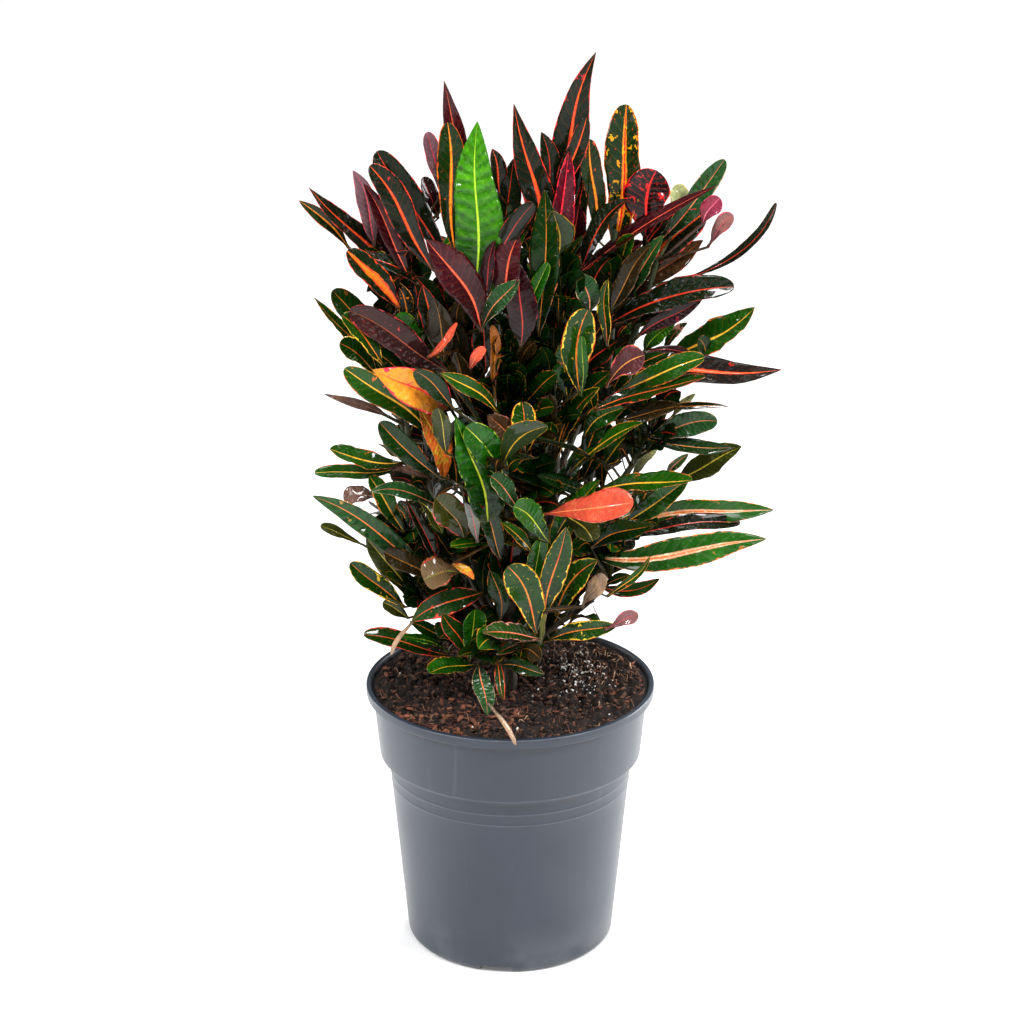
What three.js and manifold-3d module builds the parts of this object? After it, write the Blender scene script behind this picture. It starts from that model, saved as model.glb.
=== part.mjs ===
// A potted croton: a tapered nursery pot, its soil and three leafy plants rooted close together.
// Millimetres, +Z up, origin at the middle of the pot's flat underside, seen from the front along +Y.
import * as THREE from 'three';
import { mergeVertices } from 'three/addons/utils/BufferGeometryUtils.js';
import Module from 'manifold-3d';

const wasm = await Module();
wasm.setup();

// Pot
const POT_HEIGHT = 229;
const LIP_RADIUS = 120;
const LIP_INNER_RADIUS = 115.6;
const LIP_DEPTH = 8;
const COLLAR_TOP_RADIUS = 114;
const COLLAR_FOOT_RADIUS = 109.3;
const COLLAR_FOOT_HEIGHT = 169;
const STEP_RADIUS = 103;
const STEP_HEIGHT = 166;
const BASE_RADIUS = 87;
const BASE_ROUND = 7;
const WALL = 1.8;
const FLOOR = 2.4;
const RING_HEIGHTS = [153, 143];
const RING_RISE = 0.5;
const RING_HALF_WIDTH = 1.6;
const POT_SIDES = 36;
const NOTCH = { count: 4, width: 27, height: 6, depth: 16, turn: -98 };

// Soil
const SOIL_HEIGHT = 225;
const CLEARANCE = 0.35;
const ROOT_DEPTH = 42;
const ROOT_FOOT = SOIL_HEIGHT - ROOT_DEPTH + CLEARANCE;
const SOIL_RINGS = 4;
const SOIL_SIDES = POT_SIDES;
const SOIL_RIM = { radius: 113.9, drop: 0.1, inset: 7 };
const STEM_CLEAR = SOIL_HEIGHT + 5;

// The eye that the leaves are laid out from, and the upright sheet square to its line of sight
const EYE = new THREE.Vector3(1.5, -2400, 1289);
const EYE_TILT = THREE.MathUtils.degToRad(20.77);
const SHEET_DISTANCE = 2619;
const SHEET_CENTRE = { across: 1.7, up: 383.3 };

// Clump: three rooted plants round an upright line just behind the pot's axis, each in its own sector
const CLUMP_DEPTH = 20;
const STEM_OFFSET = 28;
const STEM_RADIUS = 6.5;

// Branches of a plant: thickness at both ends, then the distance out from the clump's line, the turn
// from the sector's middle in degrees, and the height of each point of the centre line
const FRONT_BRANCHES = [
  {
    thick: [6.5, 3],
    path: [
      [28, 0, ROOT_FOOT], [28, 0, STEM_CLEAR], [29, 0, 252], [38, 0, 330],
      [46, 0, 430], [42, 0, 530], [36, 0, 640],
    ],
  },
  {
    thick: [4.6, 2.6],
    path: [[31, 0, 262], [40, -35, 310], [58, -60, 370], [74, -66, 450], [82, -68, 530], [84, -68, 610]],
  },
  {
    thick: [4.6, 2.6],
    path: [[31, 0, 256], [40, 35, 306], [60, 60, 366], [78, 65, 450], [88, 66, 540], [90, 66, 620]],
  },
  { thick: [3.6, 2], path: [[42, 0, 384], [48, -30, 440], [60, -36, 520], [62, -36, 600]] },
  { thick: [3.6, 2], path: [[41, 0, 372], [50, 30, 432], [62, 36, 520], [66, 38, 606]] },
  { thick: [3.2, 1.8], path: [[30, 0, 248], [50, -40, 280], [72, -52, 300], [92, -56, 326]] },
  { thick: [3.2, 1.8], path: [[30, 0, 252], [52, 40, 284], [76, 52, 306], [98, 56, 332]] },
  { thick: [3, 1.8], path: [[30, 0, 245], [52, -4, 264], [76, -4, 278], [94, 0, 296]] },
  { thick: [3.4, 2], path: [[39, 0, 340], [66, -8, 376], [88, -8, 420], [98, -6, 470]] },
  { thick: [3.4, 2], path: [[58, -60, 370], [76, -64, 400], [88, -66, 440], [92, -67, 486]] },
  { thick: [3.4, 2], path: [[60, 60, 366], [86, 63, 396], [112, 65, 436], [128, 68, 482]] },
  { thick: [3.2, 2], path: [[76, -66, 470], [98, -69, 530], [112, -71, 590]] },
  { thick: [3.2, 2], path: [[80, 65, 470], [104, 68, 530], [122, 71, 596]] },
  { thick: [3, 1.8], path: [[50, -50, 342], [80, -62, 352], [104, -66, 372]] },
  { thick: [3, 1.8], path: [[50, 48, 334], [84, 60, 348], [110, 65, 372]] },
];
const BACK_BRANCHES = [
  {
    thick: [6.5, 3],
    path: [
      [28, 0, ROOT_FOOT], [28, 0, STEM_CLEAR], [30, 0, 252], [44, 0, 340],
      [52, 0, 440], [50, 0, 520], [46, 0, 580],
    ],
  },
  { thick: [3.2, 2], path: [[33, 0, 258], [56, -22, 300], [80, -28, 330]] },
  { thick: [3.2, 2], path: [[34, 0, 268], [58, 22, 310], [84, 28, 342]] },
  { thick: [3.6, 2], path: [[41, 0, 320], [64, -26, 370], [88, -32, 430], [100, -32, 490]] },
  { thick: [3.6, 2], path: [[43, 0, 332], [66, 26, 382], [90, 32, 442], [102, 32, 500]] },
  { thick: [3.4, 2], path: [[48, 0, 384], [76, 2, 424], [98, 0, 470], [108, 0, 522]] },
  { thick: [3.4, 2], path: [[51, 0, 440], [64, -28, 490], [78, -34, 540], [84, -34, 584]] },
  { thick: [3.4, 2], path: [[52, 0, 450], [64, 28, 500], [80, 34, 550], [86, 34, 592]] },
  { thick: [3.2, 2], path: [[36, 0, 284], [62, 0, 302], [88, 0, 326]] },
];
const PLANTS = [
  { name: 'croton_front', from: -174, to: -6, seed: 11, extra: 12, branches: FRONT_BRANCHES },
  { name: 'croton_back_right', from: -6, to: 90, seed: 37, extra: 26, branches: BACK_BRANCHES },
  { name: 'croton_back_left', from: 90, to: 186, seed: 41, extra: 26, branches: BACK_BRANCHES },
];

// Dense part of the crown as the eye sees it: an ellipse on the sheet that holds the tips drawn by rule
const CROWN = { middle: 450, halfWidth: 125, halfHeight: 200, tries: 5, shrink: 0.8 };

// Half width along a blade, as base power and tip power of one formula
const SHAPES = {
  lance: [0.95, 0.85],
  spire: [0.62, 1.0],
  strap: [0.8, 0.45],
  round: [0.85, 0.42],
  spoon: [1.5, 0.5],
  broad: [0.65, 0.9],
  drop: [0.45, 0.95],
};

// Leaves as seen from the front: across and up on the sheet, and depth from the clump's line, of the
// blade's base and of its tip; then its width, how far it arches, and its shape
const LEAVES = [
  [-30, 566, -72, -27, 709, -62, 37, 6, 'broad'],
  [-24, 533, -85, -70, 610, -105, 31, 6, 'lance'],
  [-6, 556, -82, 8, 615, -84, 26, 4, 'lance'],
  [9, 521, -78, 8, 590, -75, 25, 5, 'lance'],
  [-22, 538, -88, 8, 577, -92, 17, 3, 'lance'],
  [-21, 560, -80, -12, 610, -80, 12, 2, 'lance'],
  [14, 528, -74, 32, 591, -72, 12, 3, 'strap'],
  [24, 530, -66, 29, 652, -56, 25, 4, 'lance'],
  [27, 601, -45, 3, 724, -40, 25, 3, 'spire'],
  [33, 630, -34, 26, 700, -32, 19, 3, 'lance'],
  [0, 589, -38, 3, 678, -30, 21, 3, 'lance'],
  [-9, 648, -36, -15, 686, -38, 14, 1, 'lance'],
  [-13, 485, -75, -15, 539, -75, 9, 2, 'strap'],
  [-10, 465, -85, -58, 499, -105, 15, 4, 'lance'],
  [-19, 375, -105, -46, 463, -110, 36, 5, 'drop'],
  [-2, 409, -98, -37, 454, -112, 25, 5, 'round'],
  [4, 431, -90, -19, 464, -95, 20, 4, 'lance'],
  [13, 431, -92, 10, 475, -90, 20, 3, 'round'],
  [7, 385, -105, -16, 413, -112, 17, 3, 'round'],
  [32, 358, -105, 3, 388, -120, 22, 3, 'round'],
  [-27, 358, -100, -38, 391, -112, 10, 4, 'lance'],
  [18, 350, -95, -8, 375, -100, 12, 3, 'lance'],
  [-48, 340, -96, -30, 327, -102, 8, 3, 'lance'],
  [-43, 333, -88, -72, 327, -96, 29, 3, 'round'],
  [22, 281, -88, -2, 338, -98, 28, 4, 'round'],
  [22, 293, -80, 26, 362, -86, 17, 3, 'strap'],
  [29, 296, -82, 47, 371, -95, 22, 4, 'lance'],
  [25, 277, -92, -23, 283, -115, 20, 1, 'lance'],
  [25, 273, -88, 30, 298, -92, 5, 1, 'strap'],
  [-7, 256, -90, 29, 248, -108, 12, 3, 'lance'],
  [8, 273, -85, -11, 264, -104, 9, 3, 'lance'],
  [-26, 257, -98, -19, 214, -126, 16, 4, 'lance'],
  [-11, 259, -98, -5, 226, -122, 8, 3, 'lance'],
  [-33, 260, -75, -29, 302, -80, 20, 3, 'round'],
  [-35, 262, -70, -57, 299, -95, 17, 3, 'lance'],
  [-29, 256, -62, -67, 249, -88, 19, 2, 'round'],
  [41, 629, -22, 72, 767, -25, 28, 2, 'spire'],
  [38, 630, -32, 64, 712, -34, 15, 3, 'strap'],
  [46, 583, -44, 49, 684, -40, 20, 4, 'lance'],
  [33, 635, -24, 42, 674, -24, 12, 2, 'lance'],
  [71, 612, -24, 66, 694, -24, 18, 2, 'strap'],
  [42, 572, -48, 61, 614, -50, 10, 2, 'lance'],
  [86, 600, -28, 97, 723, -28, 31, 0, 'strap'],
  [113, 611, -40, 122, 668, -40, 35, 3, 'round'],
  [143, 628, -20, 137, 655, -22, 17, 2, 'round'],
  [121, 605, -28, 179, 677, -34, 17, 1, 'strap'],
  [161, 624, -58, 175, 645, -60, 15, 2, 'round'],
  [165, 604, -32, 186, 631, -36, 13, 2, 'spoon'],
  [50, 576, -35, 174, 656, -70, 15, 1, 'spire'],
  [115, 584, -26, 166, 636, -34, 28, 3, 'lance'],
  [98, 559, -30, 161, 610, -30, 20, 4, 'lance'],
  [96, 558, -45, 128, 614, -55, 18, 4, 'lance'],
  [84, 551, -60, 118, 606, -70, 18, 4, 'lance'],
  [60, 586, -50, 98, 644, -55, 20, 5, 'lance'],
  [150, 579, -30, 222, 641, -42, 9, -14, 'strap'],
  [82, 539, -50, 187, 571, -60, 27, 11, 'strap'],
  [106, 529, -60, 160, 560, -68, 13, 3, 'lance'],
  [132, 511, -32, 204, 554, -32, 30, -5, 'lance'],
  [112, 517, -40, 139, 543, -44, 15, 3, 'lance'],
  [127, 517, -30, 148, 541, -32, 9, 2, 'lance'],
  [81, 522, -60, 82, 578, -60, 11, 2, 'lance'],
  [66, 550, -60, 57, 582, -62, 20, 3, 'lance'],
  [58, 483, -70, 65, 552, -75, 26, 4, 'strap'],
  [59, 480, -78, 60, 530, -82, 8, 2, 'strap'],
  [80, 487, -88, 112, 514, -102, 23, 3, 'spoon'],
  [113, 516, -60, 158, 512, -60, 7, 3, 'lance'],
  [163, 511, -40, 157, 528, -42, 13, 3, 'round'],
  [88, 482, -74, 162, 512, -92, 19, 4, 'strap'],
  [70, 468, -76, 163, 496, -98, 21, 4, 'strap'],
  [106, 502, -50, 227, 502, -50, 24, 1, 'spire'],
  [125, 473, -30, 182, 471, -36, 7, 1, 'lance'],
  [94, 460, -80, 143, 472, -95, 15, -1, 'lance'],
  [117, 446, -60, 173, 459, -70, 20, 2, 'strap'],
  [112, 444, -60, 187, 437, -70, 13, 0, 'lance'],
  [138, 410, -40, 193, 438, -50, 24, -2, 'lance'],
  [102, 413, -24, 129, 441, -28, 13, 3, 'strap'],
  [135, 462, -28, 155, 482, -28, 8, 2, 'lance'],
  [117, 441, -32, 134, 483, -34, 8, 2, 'strap'],
  [18, 389, -28, 111, 458, -100, 24, 5, 'lance'],
  [38, 427, -48, 75, 487, -70, 18, 5, 'lance'],
  [75, 402, -75, 152, 410, -95, 22, 0, 'strap'],
  [96, 374, -62, 150, 412, -85, 19, 2, 'lance'],
  [131, 412, -40, 149, 432, -42, 8, 2, 'lance'],
  [26, 381, -88, 103, 391, -120, 28, 3, 'spoon'],
  [100, 371, -32, 220, 385, -42, 21, 9, 'lance'],
  [46, 380, -78, 69, 359, -92, 22, 3, 'round'],
  [68, 353, -80, 121, 372, -95, 18, 4, 'lance'],
  [70, 346, -60, 214, 361, -60, 27, -6, 'lance'],
  [90, 362, -50, 192, 374, -45, 15, 1.5, 'strap'],
  [81, 313, -70, 117, 347, -75, 7, -4, 'lance'],
  [75, 321, -60, 125, 328, -60, 12, -5, 'lance'],
  [38, 297, -60, 73, 343, -92, 24, 4, 'lance'],
  [60, 303, -70, 81, 328, -92, 18, 2, 'spoon'],
  [24, 300, -86, 60, 304, -90, 5, 2, 'lance'],
  [33, 277, -70, 90, 289, -92, 16, 0, 'lance'],
  [79, 285, -90, 107, 298, -96, 12, 0, 'spoon'],
  [-50, 643, -20, -55, 743, -20, 19, 3, 'spire'],
  [-46, 600, -36, -52, 708, -32, 22, 3, 'strap'],
  [-58, 648, -18, -69, 700, -20, 14, 3, 'strap'],
  [-60, 628, -18, -73, 662, -20, 15, 2, 'round'],
  [-54, 592, -40, -111, 684, -45, 26, 3, 'strap'],
  [-65, 586, -52, -117, 672, -58, 22, 3, 'strap'],
  [-113, 606, -40, -131, 668, -44, 16, 3, 'lance'],
  [-83, 577, -50, -122, 657, -50, 15, 4, 'lance'],
  [-94, 590, -34, -119, 626, -34, 16, 3, 'round'],
  [-90, 578, -28, -168, 654, -36, 21, -3, 'spire'],
  [-135, 604, -30, -176, 643, -35, 11, 1, 'lance'],
  [-92, 553, -60, -136, 601, -70, 21, 4, 'strap'],
  [-74, 571, -50, -132, 600, -56, 13, 4, 'lance'],
  [-85, 539, -50, -98, 577, -50, 13, 3, 'lance'],
  [-73, 516, -60, -96, 546, -66, 20, 3, 'round'],
  [-63, 520, -60, -73, 572, -58, 18, 4, 'lance'],
  [-55, 508, -66, -64, 562, -66, 22, 4, 'lance'],
  [-110, 515, -34, -163, 562, -38, 14, -2, 'lance'],
  [-92, 521, -55, -148, 568, -60, 22, -4, 'strap'],
  [-52, 500, -72, -134, 551, -90, 25, 4, 'strap'],
  [-106, 506, -88, -140, 547, -92, 18, 4, 'round'],
  [-110, 496, -50, -142, 524, -55, 20, 2, 'round'],
  [-69, 512, -92, -44, 541, -84, 8, -4, 'strap'],
  [-33, 503, -84, -20, 519, -88, 9, 2, 'round'],
  [-52, 468, -82, -115, 502, -110, 32, 3, 'spire'],
  [-48, 470, -96, -80, 501, -104, 17, 4, 'strap'],
  [-76, 470, -86, -56, 410, -76, 20, 5, 'lance'],
  [-53, 432, -96, -60, 470, -98, 17, 2, 'round'],
  [-62, 441, -75, -138, 503, -95, 22, 5, 'strap'],
  [-104, 472, -50, -137, 498, -54, 11, 3, 'round'],
  [-104, 464, -40, -156, 482, -40, 8, 3, 'spire'],
  [-60, 413, -80, -109, 458, -95, 19, 1, 'strap'],
  [-92, 424, -60, -150, 436, -65, 20, -2, 'strap'],
  [-93, 420, -50, -163, 416, -50, 13, -3, 'strap'],
  [-65, 411, -60, -116, 421, -62, 7, 3, 'lance'],
  [-112, 396, -58, -139, 396, -60, 17, 2, 'round'],
  [-57, 387, -70, -117, 400, -92, 13, 5, 'lance'],
  [-88, 366, -60, -117, 413, -64, 17, 2, 'strap'],
  [-62, 329, -66, -165, 397, -84, 19, 1, 'lance'],
  [-119, 354, -40, -158, 372, -44, 10, 2, 'spoon'],
  [-56, 333, -70, -87, 394, -88, 14, 4, 'lance'],
  [-77, 393, -80, -56, 365, -92, 11, 3, 'lance'],
  [-38, 360, -86, -62, 395, -106, 26, 3, 'round'],
  [-73, 304, -40, -104, 331, -60, 17, 3, 'strap'],
  [-88, 304, -50, -133, 341, -56, 17, -2, 'strap'],
  [-82, 316, -48, -120, 362, -54, 20, 3, 'lance'],
  [-85, 295, -50, -106, 308, -55, 12, 2, 'round'],
  [-62, 325, -75, -105, 350, -92, 18, 3, 'round'],
  [-52, 264, -58, -122, 281, -70, 17, 0, 'strap'],
  [-52, 267, -64, -94, 280, -80, 9, 3, 'lance'],
  [-23, 316, -60, -82, 292, -96, 21, 6, 'lance'],
  [-80, 293, -94, -99, 264, -100, 4, 2, 'strap'],
  [25, 477, -40, 42, 535, -45, 18, 4, 'lance'],
  [12, 443, -50, 25, 510, -60, 18, 2, 'lance'],
  [48, 477, -62, 42, 523, -68, 18, 3, 'lance'],
  [29, 443, -66, 32, 481, -70, 17, 2, 'round'],
  [-8, 343, -90, -25, 393, -100, 18, 4, 'lance'],
  [42, 343, -60, 54, 393, -70, 18, 4, 'lance'],
  [-33, 460, -60, -46, 518, -65, 20, 4, 'lance'],
  [37, 360, -60, 75, 410, -80, 18, 5, 'lance'],
  [-8, 293, -70, -17, 335, -80, 16, 4, 'lance'],
  [0, 480, -55, 4, 540, -58, 20, 4, 'lance'],
  [-20, 500, -58, -28, 552, -60, 20, 4, 'lance'],
  [40, 520, -52, 50, 575, -54, 19, 4, 'lance'],
  [-45, 400, -60, -60, 450, -66, 18, 4, 'lance'],
  [-18, 224, -122, 5, 188, -150, 4, 1, 'strap'],
  [60, 425, -58, 90, 478, -68, 19, 4, 'lance'],
  [62, 446, -60, 96, 470, -74, 17, 4, 'lance'],
  [0, 322, -52, 3, 372, -56, 22, 3, 'lance'],
  [14, 335, -50, 18, 385, -54, 20, 3, 'lance'],
  [18, 418, -46, 16, 464, -48, 22, 3, 'lance'],
];

// Blade build
const BLADE_THICKNESS = 1.7;
const PETIOLE_HALF_WIDTH = 1.4;
const PETIOLE_THICKNESS = 2.6;
const PETIOLE_RISE = 14;
const FOLD = 0.24;
const WAVE = 0.055;
const WAVES_PER_BLADE = 2.3;
const SWAY = 0.04;
const BLADE_STATIONS = { short: [0.25, 0.72], medium: [0.18, 0.5, 0.83], long: [0.14, 0.38, 0.64, 0.87] };
const MEDIUM_LENGTH = 45;
const LONG_LENGTH = 95;
const SIDE_GAP = 1.6;
const SHOOT_FLOOR = 229;
const SHOOT_FLOOR_RADIUS = 132;

/** Seeded draw between 0 and 1, the same on every run. */
function seededDraw(seed) {
  let state = seed;
  return () => {
    state = (state + 0x6d2b79f5) | 0;
    let mixed = Math.imul(state ^ (state >>> 15), 1 | state);
    mixed = (mixed + Math.imul(mixed ^ (mixed >>> 7), 61 | mixed)) ^ mixed;
    return ((mixed ^ (mixed >>> 14)) >>> 0) / 4294967296;
  };
}

/** Point of the object that the eye sees at a place on the sheet, at a depth from the clump's line. */
function seen(across, up, depth) {
  const forward = new THREE.Vector3(0, Math.cos(EYE_TILT), -Math.sin(EYE_TILT));
  const upward = new THREE.Vector3(0, Math.sin(EYE_TILT), Math.cos(EYE_TILT));
  const ray = new THREE.Vector3(across - SHEET_CENTRE.across, 0, 0)
    .addScaledVector(upward, up - SHEET_CENTRE.up)
    .addScaledVector(forward, SHEET_DISTANCE);
  return EYE.clone().addScaledVector(ray, (depth + CLUMP_DEPTH - EYE.y) / ray.y);
}

/** Whether the eye sees a point outside the crown's ellipse. */
function outsideCrown(point) {
  const ray = point.clone().sub(EYE);
  const stretch = SHEET_DISTANCE / (ray.y * Math.cos(EYE_TILT) - ray.z * Math.sin(EYE_TILT));
  const across = SHEET_CENTRE.across + ray.x * stretch;
  const up = SHEET_CENTRE.up + (ray.y * Math.sin(EYE_TILT) + ray.z * Math.cos(EYE_TILT)) * stretch;
  return (across / CROWN.halfWidth) ** 2 + ((up - CROWN.middle) / CROWN.halfHeight) ** 2 > 1;
}

/** Closed solid from a list of corner rings, with a point at each end where the ring is a single corner. */
function loft(rings, quadCorners) {
  const positions = [];
  const faces = [];
  const starts = rings.map((ring) => {
    const start = positions.length / 3;
    ring.forEach((corner) => positions.push(corner.x, corner.y, corner.z));
    return start;
  });
  for (let i = 0; i + 1 < rings.length; i += 1) {
    const sides = Math.max(rings[i].length, rings[i + 1].length);
    for (let k = 0; k < sides; k += 1) {
      const next = (k + 1) % sides;
      const [a, b] = rings[i].length === 1 ? [starts[i], starts[i]] : [starts[i] + k, starts[i] + next];
      const far = starts[i + 1];
      const [c, d] = rings[i + 1].length === 1 ? [far, far] : [far + next, far + k];
      if (a === b) {
        faces.push(a, c, d);
      } else if (c === d) {
        faces.push(a, b, c);
      } else if (quadCorners(k)) {
        faces.push(a, b, c, a, c, d);
      } else {
        faces.push(a, b, d, b, c, d);
      }
    }
  }
  return solidFrom(new Float32Array(positions), new Uint32Array(faces));
}

/** Solid of a closed triangle mesh. */
function solidFrom(vertProperties, triVerts) {
  return new wasm.Manifold(new wasm.Mesh({ numProp: 3, vertProperties, triVerts }));
}

/** Solid of a three.js geometry, its shared corners merged. */
function solidOf(geometry) {
  const bare = geometry.clone();
  bare.deleteAttribute('normal');
  bare.deleteAttribute('uv');
  const merged = mergeVertices(bare, 1e-4);
  return solidFrom(new Float32Array(merged.attributes.position.array), new Uint32Array(merged.index.array));
}

/** Joins a list of solids pair by pair. */
function joined(solids) {
  let level = solids;
  while (level.length > 1) {
    const next = [];
    for (let i = 0; i < level.length; i += 2) {
      next.push(i + 1 < level.length ? level[i].add(level[i + 1]) : level[i]);
    }
    level = next;
  }
  return level[0];
}

/** Geometry of a solid's outer skin: loose scrap and hollows that joining sealed are dropped. */
function outerSkin(solid) {
  const mesh = solid.getMesh();
  const count = mesh.vertProperties.length / mesh.numProp;
  const leader = Array.from({ length: count }, (_, i) => i);
  const find = (i) => {
    let top = i;
    while (leader[top] !== top) {
      leader[top] = leader[leader[top]];
      top = leader[top];
    }
    return top;
  };
  for (let i = 0; i < mesh.triVerts.length; i += 3) {
    leader[find(mesh.triVerts[i + 1])] = find(mesh.triVerts[i]);
    leader[find(mesh.triVerts[i + 2])] = find(mesh.triVerts[i]);
  }
  const sizes = new Map();
  for (let i = 0; i < mesh.triVerts.length; i += 3) {
    const body = find(mesh.triVerts[i]);
    sizes.set(body, (sizes.get(body) ?? 0) + 1);
  }
  const largest = [...sizes.entries()].sort((a, b) => b[1] - a[1])[0][0];
  const kept = [];
  for (let i = 0; i < mesh.triVerts.length; i += 3) {
    if (find(mesh.triVerts[i]) === largest) {
      kept.push(mesh.triVerts[i], mesh.triVerts[i + 1], mesh.triVerts[i + 2]);
    }
  }
  const geometry = new THREE.BufferGeometry();
  geometry.setAttribute('position', new THREE.BufferAttribute(new Float32Array(mesh.vertProperties), 3));
  geometry.setIndex(kept);
  geometry.computeVertexNormals();
  return geometry;
}

/** Radius of the pot's outer wall at a height, between foot and step. */
function wallRadius(height) {
  const share = (height - BASE_ROUND) / (STEP_HEIGHT - BASE_ROUND);
  return THREE.MathUtils.lerp(BASE_RADIUS, STEP_RADIUS - 1, share);
}

/** Pot: one thin wall turned about its axis, with drain notches cut in the foot. */
function pot() {
  const rings = [...RING_HEIGHTS].reverse().flatMap((height) => [
    [wallRadius(height - RING_HALF_WIDTH), height - RING_HALF_WIDTH],
    [wallRadius(height) + RING_RISE, height],
    [wallRadius(height + RING_HALF_WIDTH), height + RING_HALF_WIDTH],
  ]);
  const outline = [
    [0, 0],
    [BASE_RADIUS - BASE_ROUND, 0],
    [BASE_RADIUS - 2, BASE_ROUND * 0.35],
    [BASE_RADIUS, BASE_ROUND],
    ...rings,
    [STEP_RADIUS - 1, STEP_HEIGHT - 3],
    [STEP_RADIUS + 0.8, STEP_HEIGHT],
    [COLLAR_FOOT_RADIUS - 0.9, COLLAR_FOOT_HEIGHT - 1.4],
    [COLLAR_FOOT_RADIUS, COLLAR_FOOT_HEIGHT + 0.8],
    [COLLAR_TOP_RADIUS, POT_HEIGHT - LIP_DEPTH - 2],
    [LIP_RADIUS - 0.8, POT_HEIGHT - LIP_DEPTH],
    [LIP_RADIUS, POT_HEIGHT - 1.6],
    [LIP_RADIUS - 1.2, POT_HEIGHT],
    [LIP_INNER_RADIUS, POT_HEIGHT],
    ...innerWall(0),
    [0, FLOOR],
  ];
  const shell = new THREE.LatheGeometry(outline.map(([r, z]) => new THREE.Vector2(r, z)), POT_SIDES);
  shell.rotateX(Math.PI / 2);
  let solid = solidOf(shell);
  for (let i = 0; i < NOTCH.count; i += 1) {
    const notch = new THREE.BoxGeometry(NOTCH.depth, NOTCH.width, NOTCH.height * 2);
    notch.translate(BASE_RADIUS - NOTCH.depth / 2 + 4, 0, 0);
    notch.rotateZ(THREE.MathUtils.degToRad(NOTCH.turn + (360 / NOTCH.count) * i));
    solid = solid.subtract(solidOf(notch));
  }
  return outerSkin(solid);
}

/** Inner wall from the lip down to the floor, moved in by a clearance. */
function innerWall(clearance) {
  return [
    [COLLAR_TOP_RADIUS - WALL - clearance, POT_HEIGHT - LIP_DEPTH - 2],
    [COLLAR_FOOT_RADIUS - WALL - clearance, COLLAR_FOOT_HEIGHT + 3],
    [STEP_RADIUS - 1 - WALL - clearance, STEP_HEIGHT - 4],
    [wallRadius(20) - WALL - clearance, 20],
    [BASE_RADIUS - BASE_ROUND - clearance, FLOOR + clearance],
  ];
}

/** Height of the soil at a place: low crumbled heaps, from a few crossing waves. */
function soilTop(x, y) {
  const heaps = Math.sin(x * 0.071 + 1.3) * Math.cos(y * 0.063 - 0.4);
  const lumps = Math.sin(x * 0.19 - y * 0.13) * Math.cos(y * 0.21 + x * 0.05 + 0.8);
  return SOIL_HEIGHT + 1.6 * heaps + 1.2 * lumps;
}

/** Soil: fills the pot to just below the lip, with a plain hole for each stem. */
function soil(plants) {
  const sides = innerWall(CLEARANCE).reverse();
  const ringAt = (radius, heightAt) => Array.from({ length: SOIL_SIDES }, (_, k) => {
    const angle = (2 * Math.PI * k) / SOIL_SIDES;
    const x = radius * Math.cos(angle);
    const y = radius * Math.sin(angle);
    return new THREE.Vector3(x, y, heightAt(x, y));
  });
  const rings = [[new THREE.Vector3(0, 0, FLOOR + CLEARANCE)]];
  sides.forEach(([radius, height]) => rings.push(ringAt(radius, () => height)));
  rings.push(ringAt(SOIL_RIM.radius, () => SOIL_HEIGHT - SOIL_RIM.drop));
  for (let i = SOIL_RINGS; i > 0; i -= 1) {
    rings.push(ringAt((SOIL_RIM.radius - SOIL_RIM.inset) * (i / SOIL_RINGS), soilTop));
  }
  rings.push([new THREE.Vector3(0, 0, soilTop(0, 0))]);
  let solid = loft(rings, () => true);
  plants.forEach((plant) => {
    const [x, y] = plant.place(STEM_OFFSET, 0, 0).toArray();
    const hole = new THREE.CylinderGeometry(STEM_RADIUS + 0.9, STEM_RADIUS + 0.9, ROOT_DEPTH * 2, 12);
    hole.rotateX(Math.PI / 2);
    hole.translate(x, y, SOIL_HEIGHT);
    solid = solid.subtract(solidOf(hole));
  });
  return outerSkin(solid);
}

/** A plant's sector: places in it, and the push that keeps a shoot inside it. */
function sector(plant) {
  const from = THREE.MathUtils.degToRad(plant.from);
  const to = THREE.MathUtils.degToRad(plant.to);
  const middle = (from + to) / 2;
  const out = new THREE.Vector3(Math.cos(middle), Math.sin(middle), 0);
  const upright = new THREE.Vector3(0, 0, 1);
  const walls = [
    new THREE.Vector3(-Math.sin(from), Math.cos(from), 0),
    new THREE.Vector3(Math.sin(to), -Math.cos(to), 0),
  ];
  const place = (distance, turn, height) => new THREE.Vector3(0, CLUMP_DEPTH, height)
    .addScaledVector(out.clone().applyAxisAngle(upright, THREE.MathUtils.degToRad(turn)), distance);
  const keepIn = (point, margin) => {
    const kept = point.clone();
    for (let pass = 0; pass < 4; pass += 1) {
      walls.forEach((wall) => {
        const reach = kept.x * wall.x + (kept.y - CLUMP_DEPTH) * wall.y;
        kept.addScaledVector(wall, Math.max(0, margin - reach));
      });
    }
    if (Math.hypot(kept.x, kept.y) < SHOOT_FLOOR_RADIUS) {
      kept.z = Math.max(kept.z, SHOOT_FLOOR + margin * 0.6);
    }
    return kept;
  };
  return { ...plant, out, place, keepIn };
}

/** Branch centre lines of a plant, as smooth curves. */
function branches(plant) {
  return plant.branches.map(({ thick, path }) => ({
    thick,
    curve: new THREE.CatmullRomCurve3(path.map((step) => plant.place(...step))),
  }));
}

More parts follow.
